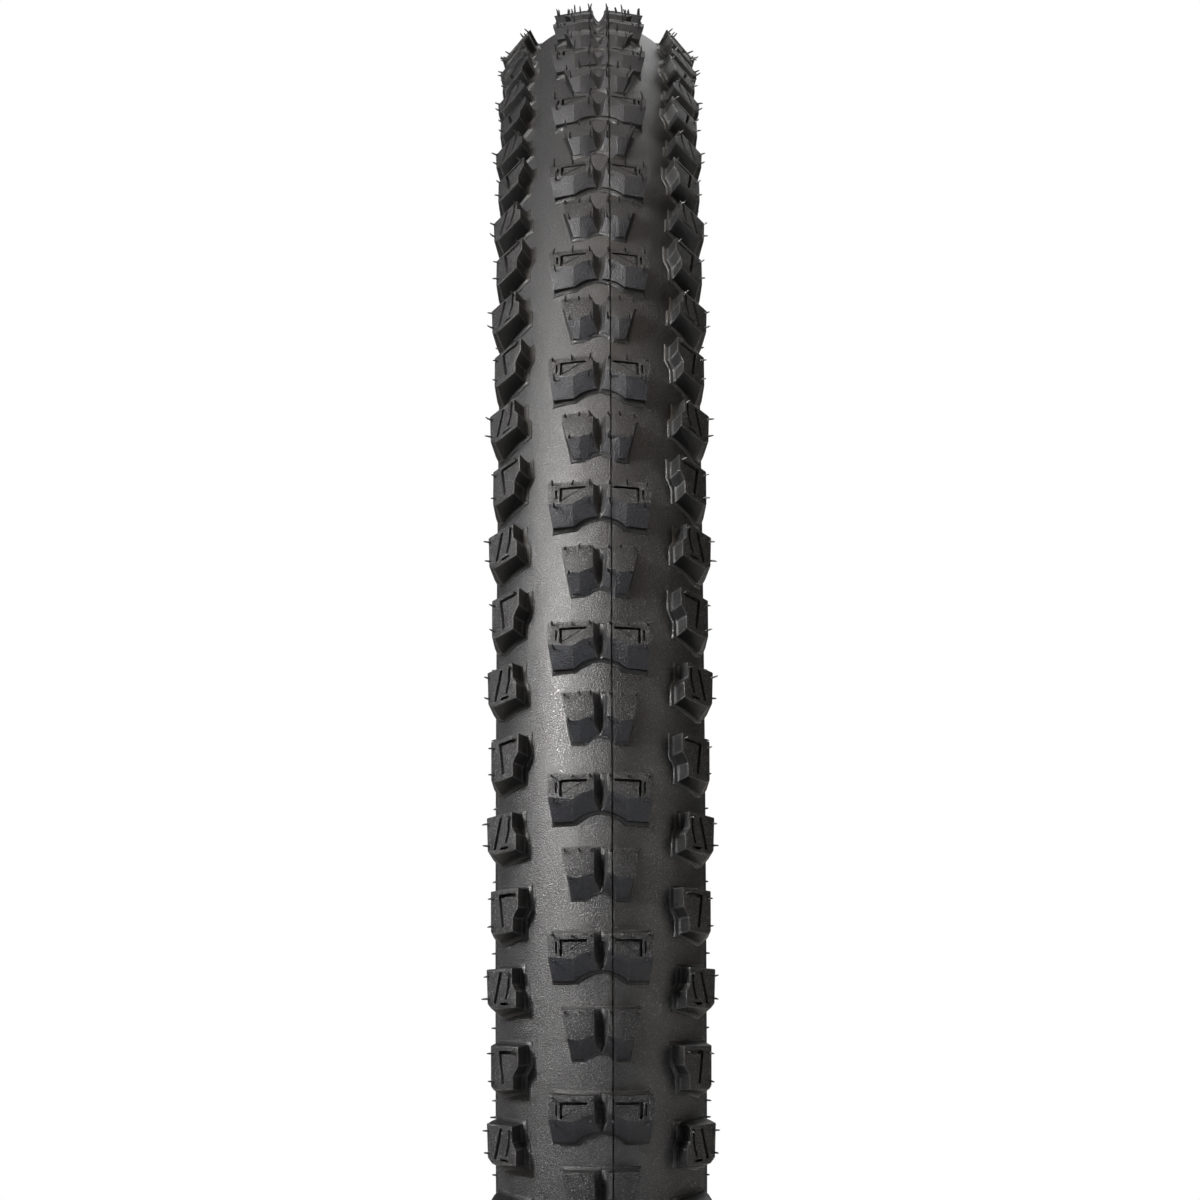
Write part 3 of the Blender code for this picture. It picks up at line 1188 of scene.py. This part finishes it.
def worked(body: bpy.types.Object, tools: Sequence[bpy.types.Object], cut: Cut) -> bpy.types.Object:
    """Joins tools to a body, or removes them from it.

    Args:
        body: the closed solid that is worked on.
        tools: the closed solids that meet it.
        cut: what they do to it.

    Returns:
        The worked body; the tools are gone.
    """
    for tool in tools:
        step = body.modifiers.new(tool.name, "BOOLEAN")
        step.operation = cut.value
        step.solver = "EXACT"
        step.object = tool
    graph = bpy.context.evaluated_depsgraph_get()
    mesh = bpy.data.meshes.new_from_object(body.evaluated_get(graph))
    made = shown(body.name + "_worked", mesh)
    for spent in (body, *tools):
        bpy.data.objects.remove(spent)
    return made


# --------------------------------------------------------------------------------------
# Tread bands
# --------------------------------------------------------------------------------------


def wrapped(points: np.ndarray, radius: float, middle: float) -> np.ndarray:
    """Bends tread points round the wheel.

    Args:
        points: width, way along the tread and radius, in millimetres, one row each.
        radius: the radius at which the way along the tread is measured.
        middle: the angle where the way along the tread is 0.

    Returns:
        The places in metres.
    """
    return polar(middle + points[:, 1] / radius, points[:, 0], points[:, 2])


@dataclass
class Band:
    """A band of tread rubber: one pitch is modelled flat, then repeated round the wheel."""

    section: Section
    finishes: Sequence[bpy.types.Material]
    inner: float
    outer: float
    start: float
    blocks: Sequence[Block]
    thickness: float = 1.5
    across_step: float = 1.4
    along_steps: int = 10
    seam_half: float = 0.18
    seam_depth: float = 0.50

    @property
    def pitch(self) -> float:
        """The length of one pitch at the tread's top."""
        return math.tau * self.section.outer_radius / PITCHES

    def slab(self) -> bpy.types.Object:
        """One pitch of the plain band, closed all round."""
        widths = spaced(self.inner, self.outer, self.across_step)
        ways = np.linspace(self.start, self.start + self.pitch, self.along_steps + 1)
        bm = bmesh.new()
        grids = []
        for height in (-self.thickness, 0.0):
            grid = []
            for s in widths:
                v, r = self.section.on_casing(s / self.section.casing_radius, height)
                grid.append([bm.verts.new((v, u, r)) for u in ways])
            grids.append(grid)
        last, end = len(widths) - 1, len(ways) - 1
        for grid in grids:
            for i in range(last):
                for j in range(end):
                    bm.faces.new((grid[i][j], grid[i + 1][j], grid[i + 1][j + 1], grid[i][j + 1]))
        low, high = grids
        for i in range(last):
            for j in (0, end):
                bm.faces.new((low[i][j], low[i + 1][j], high[i + 1][j], high[i][j]))
        for j in range(end):
            for i in (0, last):
                bm.faces.new((low[i][j], low[i][j + 1], high[i][j + 1], high[i][j]))
        bmesh.ops.recalc_face_normals(bm, faces=bm.faces)
        return workpiece("band", bm, self.finishes)

    def sector(self) -> bmesh.types.BMesh:
        """One pitch of the band with its blocks, open where the next pitch joins it."""
        blocks = [block.build(self.section, self.finishes) for block in self.blocks]
        made = worked(self.slab(), blocks, Cut.JOIN)
        bm = bmesh.new()
        bm.from_mesh(made.data)
        bpy.data.objects.remove(made)
        bmesh.ops.dissolve_degenerate(bm, dist=1e-4, edges=bm.edges)
        end = self.start + self.pitch
        ends = [f for f in bm.faces
                if all(abs(v.co.y - self.start) < 1e-3 for v in f.verts)
                or all(abs(v.co.y - end) < 1e-3 for v in f.verts)]
        bmesh.ops.delete(bm, geom=ends, context="FACES")
        return bm

    def seam(self, bm: bmesh.types.BMesh, width: float) -> None:
        """Sinks the mould's seam into everything it crosses.

        Args:
            bm: the pitch.
            width: the seam's distance from the middle.
        """
        for at in (width - self.seam_half, width, width + self.seam_half):
            geometry = bm.verts[:] + bm.edges[:] + bm.faces[:]
            bmesh.ops.bisect_plane(bm, geom=geometry, dist=1e-5, plane_co=(at, 0.0, 0.0),
                                   plane_no=(1.0, 0.0, 0.0))
        for vert in bm.verts:
            over = math.hypot(vert.co.x, vert.co.z - self.section.centre) - self.section.casing_radius
            if abs(vert.co.x - width) < 1e-3 and over > -0.2:
                vert.co.z -= self.seam_depth

    def ring(self, bm: bmesh.types.BMesh, name: str) -> bpy.types.Object:
        """Repeats the pitch round the wheel and welds the joints.

        Args:
            bm: the pitch.
            name: the piece's name.

        Returns:
            The closed piece.
        """
        bm.verts.index_update()
        flat = np.array([v.co for v in bm.verts])
        faces = [[v.index for v in f.verts] for f in bm.faces]
        kinds = [f.material_index for f in bm.faces]
        bm.free()
        middles = np.arange(PITCHES) * math.tau / PITCHES
        points = np.concatenate([wrapped(flat, self.section.outer_radius, m) for m in middles])
        count = len(flat)
        all_faces = [[i + k * count for i in f] for k in range(PITCHES) for f in faces]
        mesh = bpy.data.meshes.new(name)
        mesh.from_pydata(points.tolist(), [], all_faces)
        mesh.polygons.foreach_set("material_index", np.tile(kinds, PITCHES))
        for finish in self.finishes:
            mesh.materials.append(finish)
        weld = bmesh.new()
        weld.from_mesh(mesh)
        rim = [v for v in weld.verts if v.is_boundary]
        bmesh.ops.remove_doubles(weld, verts=rim, dist=0.02 * MM)
        open_edges = sum(1 for e in weld.edges if not e.is_manifold)
        weld.to_mesh(mesh)
        weld.free()
        dress(mesh)
        log.info("%s: %d faces, %d open edges", name, len(mesh.polygons), open_edges)
        return shown(name, mesh)


WIDE_MIDDLE = 0.8
NARROW_MIDDLE = -21.5
INNER_SHOULDER_MIDDLE = -32.09
OUTER_SHOULDER_MIDDLE = -8.41
CENTRE_START = -34.9
SHOULDER_START = -44.2
CROWN_TOP = 357.0
CROWN_BEND = (5.0, 356.95)
CROWN_END = (14.9, 355.3)
RIDGE_TOP = 356.5
RIDGE_FOOT = 353.4
RAMP_REACH = 6.0
WIDE_TOP = Facing(*CROWN_BEND, math.radians(9.5))
SHOULDER_TOP = Facing(24.9, 349.5, math.radians(49.6))


def moved(outline: Sequence[Point], share: float) -> tuple[Point, ...]:
    """An outline with every side moved outwards by the same distance."""
    return tuple(spread(outline, [share] * len(outline)))


def crown_slices(station: float) -> tuple[Slice, ...]:
    """The two planes that round off the tops of the centre blocks."""
    bend, bend_radius = CROWN_BEND
    end, end_radius = CROWN_END
    flat = ((0.0, station, CROWN_TOP), (bend, station, bend_radius), (bend, station + 1.0, bend_radius))
    fall = ((bend, station, bend_radius), (end, station, end_radius), (end, station + 1.0, end_radius))
    return (Slice(Face.CROWN, flat), Slice(Face.CROWN, fall))


def ramp_slices(station: float, ridge: float, top: float, bottom: float) -> tuple[Slice, ...]:
    """The two planes of a leading ramp, which meet along a ridge.

    Args:
        station: the block's middle along the tread.
        ridge: the ridge's distance from the middle of the tire.
        top: where the ridge starts, from the block's middle.
        bottom: where the ridge ends.

    Returns:
        The outer and the inner plane.
    """
    start = (ridge, station + top, RIDGE_TOP)
    end = (ridge, station + bottom, RIDGE_FOOT)
    outer = (start, (ridge + RAMP_REACH, station + top + 0.6, RIDGE_TOP - 1.0), end)
    inner = (start, (ridge - RAMP_REACH, station + top + 2.5, RIDGE_TOP + 0.5), end)
    return (Slice(Face.RAMP, outer), Slice(Face.RAMP, inner))


WIDE_OUTLINE = ((1.70, -3.75), (3.40, -4.15), (5.60, -5.20), (7.50, -6.70), (13.25, -6.70), (13.40, 6.95),
                (7.00, 6.55), (1.90, 6.65))
NARROW_OUTLINE = ((1.65, -5.10), (2.50, -5.35), (3.40, -6.00), (4.20, -6.90), (7.60, -6.90), (10.15, 6.90),
                  (1.95, 6.90))
WIDE_BLOCK = Block(
    name="wide_block",
    station=WIDE_MIDDLE,
    crown=WIDE_OUTLINE,
    foot=moved(WIDE_OUTLINE, 0.22),
    height=6.6,
    slices=crown_slices(WIDE_MIDDLE) + ramp_slices(WIDE_MIDDLE, 8.0, -0.7, -6.9),
    bars=(Bar((-0.6, 4.55), (6.6, 4.55)), Bar((6.6, 4.55), (6.6, 0.3)),
          Bar((6.6, 0.3), (-0.6, 4.55), 0.4, 0.22), Bar((8.0, 4.0), (8.0, 1.2), 0.6, 1.2)),
    facing=WIDE_TOP,
    channel_sides=(7,),
)
NARROW_BLOCK = Block(
    name="narrow_block",
    station=NARROW_MIDDLE,
    crown=NARROW_OUTLINE,
    foot=moved(NARROW_OUTLINE, 0.22),
    height=6.6,
    slices=crown_slices(NARROW_MIDDLE) + ramp_slices(NARROW_MIDDLE, 6.0, -2.3, -7.1),
    channel_sides=(6,),
)
SHOULDER_SLICE = ((24.9, 0.0, 349.5), (33.0, 0.0, 340.0), (33.0, 1.0, 340.0))
OUTER_SHOULDER_BLOCK = Block(
    name="outer_shoulder_block",
    station=OUTER_SHOULDER_MIDDLE,
    crown=((22.2, -5.3), (31.0, -5.3), (32.6, -3.8), (33.05, 6.3), (23.6, 6.3), (23.6, 1.4), (22.2, -0.5)),
    foot=((23.3, -5.9), (34.9, -7.8), (38.3, -6.6), (38.6, 6.9), (24.7, 6.7), (24.7, 1.5), (23.3, -0.4)),
    height=7.2,
    slices=(Slice(Face.CROWN, SHOULDER_SLICE),),
    bars=(Bar((6.4, 4.9), (9.0, -3.8), 1.1), Bar((2.6, 5.0), (2.8, 0.8), 0.9),
          Bar((2.8, 0.8), (4.0, -2.6), 0.9), Bar((3.4, -4.2), (6.2, -4.2), 0.8)),
    facing=SHOULDER_TOP,
)
INNER_SHOULDER_BLOCK = Block(
    name="inner_shoulder_block",
    station=INNER_SHOULDER_MIDDLE,
    crown=((23.3, -5.9), (30.2, -5.9), (31.0, -4.9), (31.05, 6.9), (21.3, 6.9), (21.3, 1.2), (23.3, -1.8)),
    foot=((24.4, -6.5), (35.0, -8.4), (38.0, -7.4), (38.1, 7.5), (22.4, 7.3), (22.4, 1.3), (24.4, -1.7)),
    height=7.2,
    slices=(Slice(Face.CROWN, SHOULDER_SLICE),),
    bars=(Bar((0.3, 5.0), (6.7, 5.0), 1.15), Bar((6.7, 5.0), (5.4, -4.0), 1.15)),
    facing=SHOULDER_TOP,
)


@dataclass
class CentreTread(Band):
    """The middle band, with a wide and a narrow pair of blocks in each pitch."""

    def build(self) -> bpy.types.Object:
        """Builds and dresses the band.

        Returns:
            The finished piece.
        """
        bm = self.sector()
        middle = [f for f in bm.faces if all(abs(v.co.x) < 1e-3 for v in f.verts)]
        bmesh.ops.delete(bm, geom=middle, context="FACES")
        copy = bmesh.ops.duplicate(bm, geom=bm.verts[:] + bm.edges[:] + bm.faces[:])["geom"]
        for item in copy:
            if isinstance(item, bmesh.types.BMVert):
                item.co.x = -item.co.x
        bmesh.ops.reverse_faces(bm, faces=[f for f in copy if isinstance(f, bmesh.types.BMFace)])
        rim = [v for v in bm.verts if abs(v.co.x) < 1e-3]
        bmesh.ops.remove_doubles(bm, verts=rim, dist=1e-3)
        self.seam(bm, SEAM)
        return placed(self.ring(bm, "centre_tread_shape"), "tread_rubber", "centre_tread")


@dataclass
class ShoulderTread(Band):
    """The band of side blocks on one side."""

    side: Side = Side.RIGHT

    def build(self) -> bpy.types.Object:
        """Builds and dresses the band.

        Returns:
            The finished piece.
        """
        bm = self.sector()
        if self.side == Side.LEFT:
            for vert in bm.verts:
                vert.co.x = -vert.co.x
            bmesh.ops.reverse_faces(bm, faces=bm.faces)
        node = "shoulder_tread_" + self.side.word
        return placed(self.ring(bm, node + "_shape"), "shoulder_rubber", node)


# --------------------------------------------------------------------------------------
# Vent hairs
# --------------------------------------------------------------------------------------


@dataclass(frozen=True)
class Vent:
    """Where a hair of rubber is left over an air vent of the mould."""

    width: float
    station: float
    radius: float
    lean: float
    length: float


@dataclass
class VentHairs:
    """The hairs left by the mould's air vents, all round one part of the tread."""

    section: Section
    name: str
    slot: str
    finish: bpy.types.Material
    vents: Sequence[Vent]
    sides: int = 6
    thickness: float = 0.30
    taper: tuple[float, ...] = (1.25, 1.0, 0.85, 0.5)
    seed: int = 7

    def hair(self, vent: Vent, middle: float, chance: random.Random) -> list[Vector]:
        """The middle line of one hair, in metres, slightly bent.

        Args:
            vent: where it grows.
            middle: the angle of its pitch.
            chance: the source of its bend and length.

        Returns:
            Four points from its root to its tip.
        """
        length = vent.length * chance.uniform(0.75, 1.15)
        bend = chance.uniform(-0.25, 0.25)
        drift = chance.uniform(-0.22, 0.22)
        line = []
        for share in (-0.12, 0.35, 0.7, 1.0):
            out = length * share
            lean = vent.lean + bend * share
            line.append((vent.width + out * math.sin(lean), vent.station + drift * out * share,
                         vent.radius + out * math.cos(lean)))
        return [Vector(p) for p in wrapped(np.array(line), self.section.outer_radius, middle)]

    def build(self) -> bpy.types.Object:
        """Builds and dresses all the hairs as one piece.

        Returns:
            The finished piece.
        """
        chance = random.Random(self.seed)
        floor = -self.section.outer_radius * MM
        bm = bmesh.new()
        for pitch in range(PITCHES):
            for vent in self.vents:
                line = self.hair(vent, pitch * math.tau / PITCHES, chance)
                if min(p.z for p in line) > floor:
                    self.grow(bm, line)
        mesh = bpy.data.meshes.new(self.name)
        bm.to_mesh(mesh)
        bm.free()
        dress(mesh)
        mesh.materials.append(self.finish)
        return placed(shown(self.name, mesh), self.slot)

    def grow(self, bm: bmesh.types.BMesh, line: Sequence[Vector]) -> None:
        """Adds one closed, tapered hair.

        Args:
            bm: the mesh in the making.
            line: the hair's middle line.
        """
        way = (line[-1] - line[0]).normalized()
        across = way.orthogonal().normalized()
        up = way.cross(across)
        rows = []
        for place, share in zip(line, self.taper):
            half = self.thickness * share * MM
            turns = [k * math.tau / self.sides for k in range(self.sides)]
            rows.append([bm.verts.new(place + (across * math.cos(a) + up * math.sin(a)) * half)
                         for a in turns])
        for low, high in zip(rows, rows[1:]):
            for i in range(self.sides):
                j = (i + 1) % self.sides
                bm.faces.new((low[i], low[j], high[j], high[i]))
        bm.faces.new(list(reversed(rows[0])))
        bm.faces.new(rows[-1])


def both_sides(vents: Sequence[Vent]) -> list[Vent]:
    """The vents and their mirror images."""
    return [Vent(sign * v.width, v.station, v.radius, sign * v.lean, v.length)
            for sign in (1, -1) for v in vents]


def centre_vents() -> list[Vent]:
    """The vents on the tops of the centre blocks."""
    wide = [(14.1, 6.2, 355.4), (8.2, 5.9, 356.4), (2.9, 5.9, 356.9), (13.6, -1.4, 355.5),
            (3.2, -0.4, 356.9)]
    narrow = [(10.4, 6.2, 356.0), (6.2, 6.3, 356.7), (2.8, 6.2, 356.9), (9.2, -1.6, 356.2),
              (2.6, -1.6, 356.9)]
    hairs = [Vent(v, WIDE_MIDDLE + u, r, 0.0, 2.6) for v, u, r in wide]
    hairs += [Vent(v, NARROW_MIDDLE + u, r, 0.0, 2.2) for v, u, r in narrow]
    return both_sides(hairs)


def shoulder_vents(section: Section) -> list[Vent]:
    """The vents on the side blocks and on the wall beside them."""
    hairs = [Vent(32.6, OUTER_SHOULDER_MIDDLE + u, 340.6, 1.25, 1.9) for u in (4.2, -2.6)]
    hairs += [Vent(31.2, INNER_SHOULDER_MIDDLE + u, 342.2, 1.15, 1.8) for u in (4.6, -3.8)]
    hairs += [Vent(26.0, OUTER_SHOULDER_MIDDLE + 4.6, 348.0, 0.7, 1.8),
              Vent(24.6, INNER_SHOULDER_MIDDLE + 5.2, 349.7, 0.7, 1.8)]
    for u, angle in ((-20.0, 1.38), (-43.0, 1.38), (-2.0, 1.50)):
        v, r = section.on_casing(angle)
        hairs.append(Vent(v, u, r, 1.5, 1.5))
    return hairs


# --------------------------------------------------------------------------------------
# Studio
# --------------------------------------------------------------------------------------


@dataclass(frozen=True)
class SoftBox:
    """One soft light."""

    name: str
    place: tuple[float, float, float]
    target: tuple[float, float, float]
    size: Point
    power: float
    colour: Colour
    spread: float = 180.0

    def hang(self) -> None:
        """Puts the light into the scene."""
        data = bpy.data.lights.new(self.name, "AREA")
        data.shape = "RECTANGLE"
        data.size, data.size_y = self.size
        data.energy = self.power
        data.spread = math.radians(self.spread)
        data.color = self.colour
        lamp = bpy.data.objects.new(self.name, data)
        lamp.location = self.place
        way = Vector(self.target) - Vector(self.place)
        lamp.rotation_euler = way.to_track_quat("-Z", "Y").to_euler()
        lamp.visible_camera = False
        bpy.context.scene.collection.objects.link(lamp)


@dataclass
class Studio:
    """Floor, sky, soft lights and camera."""

    floor_height: float
    floor_radius: float = 1.9
    camera_place: tuple[float, float, float] = (1.828, 0.0, 0.1496)
    lens: float = 154.1
    roll: float = math.radians(-0.15)
    sky: float = 1.0
    glow: float = 0.038
    lights: tuple[SoftBox, ...] = (
        SoftBox("key_light", (1.4, -1.5, 1.28), (0.33, 0.0, 0.17), (0.45, 0.65), 3.15, (1.0, 0.985, 0.965),
                spread=20.0),
        SoftBox("high_light", (0.85, -1.15, 1.9), (0.05, -0.05, 0.25), (0.4, 0.4), 40.0, (1.0, 0.97, 0.93)),
        SoftBox("top_light", (0.3, 0.1, 1.9), (0.1, 0.0, 0.2), (1.2, 1.2), 12.0, (1.0, 0.88, 0.74)),
        SoftBox("fill_light", (1.1, 1.6, 0.5), (0.1, 0.0, 0.1), (0.8, 1.2), 12.0, (1.0, 0.93, 0.85)),
        SoftBox("low_light", (0.82, 0.22, -0.33), (0.36, 0.0, 0.05), (0.5, 0.3), 1.6, (0.86, 0.92, 1.0)),
        SoftBox("back_light", (-1.6, 0.4, 1.2), (0.0, 0.0, 0.1), (1.2, 1.0), 6.0, (1.0, 1.0, 1.0)),
    )

    def lay_floor(self) -> None:
        """Lays the round floor under the tire."""
        bm = bmesh.new()
        bmesh.ops.create_circle(bm, cap_ends=True, segments=128, radius=self.floor_radius)
        mesh = bpy.data.meshes.new("studio_floor")
        bm.to_mesh(mesh)
        bm.free()
        mesh.materials.append(FloorPaint().material())
        floor = shown("studio_floor", mesh)
        floor.location.z = self.floor_height

    def light_sky(self) -> None:
        """Lights the white surroundings, which are dimmer for the tire than for the eye."""
        world = bpy.data.worlds.new("studio_sky")
        world.use_nodes = True
        tree = world.node_tree
        tree.nodes.clear()
        seen = tree.nodes.new("ShaderNodeBackground")
        seen.inputs["Strength"].default_value = self.sky
        cast = tree.nodes.new("ShaderNodeBackground")
        cast.inputs["Strength"].default_value = self.glow
        for background in (seen, cast):
            background.inputs["Color"].default_value = (1.0, 1.0, 1.0, 1.0)
        path = tree.nodes.new("ShaderNodeLightPath")
        share = tree.nodes.new("ShaderNodeMixShader")
        out = tree.nodes.new("ShaderNodeOutputWorld")
        tree.links.new(path.outputs["Is Camera Ray"], share.inputs[0])
        tree.links.new(cast.outputs[0], share.inputs[1])
        tree.links.new(seen.outputs[0], share.inputs[2])
        tree.links.new(share.outputs[0], out.inputs["Surface"])
        bpy.context.scene.world = world
        bpy.context.scene.view_settings.view_transform = "Standard"

    def set_camera(self) -> None:
        """Sets the camera in front of the tire, level with its upper half."""
        data = bpy.data.cameras.new("front_camera")
        data.lens = self.lens
        data.sensor_width = 36.0
        data.clip_end = 50.0
        camera = bpy.data.objects.new("front_camera", data)
        facing = Matrix.Rotation(math.pi / 2, 4, "Z") @ Matrix.Rotation(math.pi / 2, 4, "X")
        camera.matrix_world = (Matrix.Translation(self.camera_place) @ facing
                               @ Matrix.Rotation(self.roll, 4, "Z"))
        bpy.context.scene.collection.objects.link(camera)
        bpy.context.scene.camera = camera

    def build(self) -> None:
        """Builds the whole studio."""
        self.lay_floor()
        self.light_sky()
        for light in self.lights:
            light.hang()
        self.set_camera()
        log.info("studio: %d lights", len(self.lights))


# --------------------------------------------------------------------------------------
# The tire
# --------------------------------------------------------------------------------------


@dataclass
class Tire:
    """The whole tire, built from the inside out."""

    section: Section
    paints: dict[str, bpy.types.Material] = field(default_factory=dict)

    def mix_paints(self) -> None:
        """Builds every finish once."""
        finishes = (BODY_RUBBER, COOL_LIT_RAMP_RUBBER, SHADED_CROWN_RUBBER, SHADED_WALL_RUBBER, SIDE_RUBBER, BASE_RUBBER,
                    APEX_RUBBER, VENT_RUBBER, LINER_RUBBER, PLY_CLOTH, ARMOUR_CLOTH, CHAFER_CLOTH,
                    CORE_CORD)
        for finish in finishes:
            self.paints[finish.name] = finish.material()

    def build_inside(self) -> None:
        """Builds the layers, the sidewalls and the beads."""
        paints = self.paints
        Casing(self.section, paints["casing_fabric"], paints["armour_fabric"],
               paints["undertread_rubber"], paints["liner_butyl"]).build()
        for side in Side:
            Sidewall(self.section, side, paints["sidewall_rubber"], paints["armour_fabric"],
                     paints["chafer_fabric"]).build()
            Bead(self.section, side, paints["bead_aramid"], paints["armour_fabric"],
                 paints["apex_rubber"]).build()

    def build_tread(self) -> None:
        """Builds the three bands of tread."""
        rubbers = (BODY_RUBBER, COOL_LIT_RAMP_RUBBER, SHADED_CROWN_RUBBER, SHADED_WALL_RUBBER)
        skins = [self.paints[rubber.name] for rubber in rubbers]
        centre = (WIDE_BLOCK, NARROW_BLOCK)
        CentreTread(self.section, skins, 0.0, self.section.crown_end, CENTRE_START, centre).build()
        shoulder = (OUTER_SHOULDER_BLOCK, INNER_SHOULDER_BLOCK)
        for side in Side:
            ShoulderTread(self.section, skins, self.section.crown_end, self.section.shoulder_end,
                          SHOULDER_START, shoulder, side=side).build()

    def build_vents(self) -> None:
        """Builds the vent hairs of the three bands."""
        vent = self.paints["vent_rubber"]
        VentHairs(self.section, "centre_vent_hairs", "tread_rubber", vent, centre_vents()).build()
        for side in Side:
            vents = [Vent(side * v.width, v.station, v.radius, side * v.lean, v.length)
                     for v in shoulder_vents(self.section)]
            VentHairs(self.section, "shoulder_vent_hairs_" + side.word, "shoulder_rubber", vent, vents,
                      seed=11 + side).build()


def main() -> None:
    """Builds the tire and its studio, and reports each piece."""
    logging.basicConfig(level=logging.INFO, format="%(name)s: %(message)s")
    tire = Tire(Section(outer_radius=round(-cad_box[0][2] / MM, 3)))
    tire.mix_paints()
    tire.build_inside()
    tire.build_tread()
    tire.build_vents()
    Studio(floor_height=cad_box[0][2]).build()


if __name__ == "__main__":
    main()
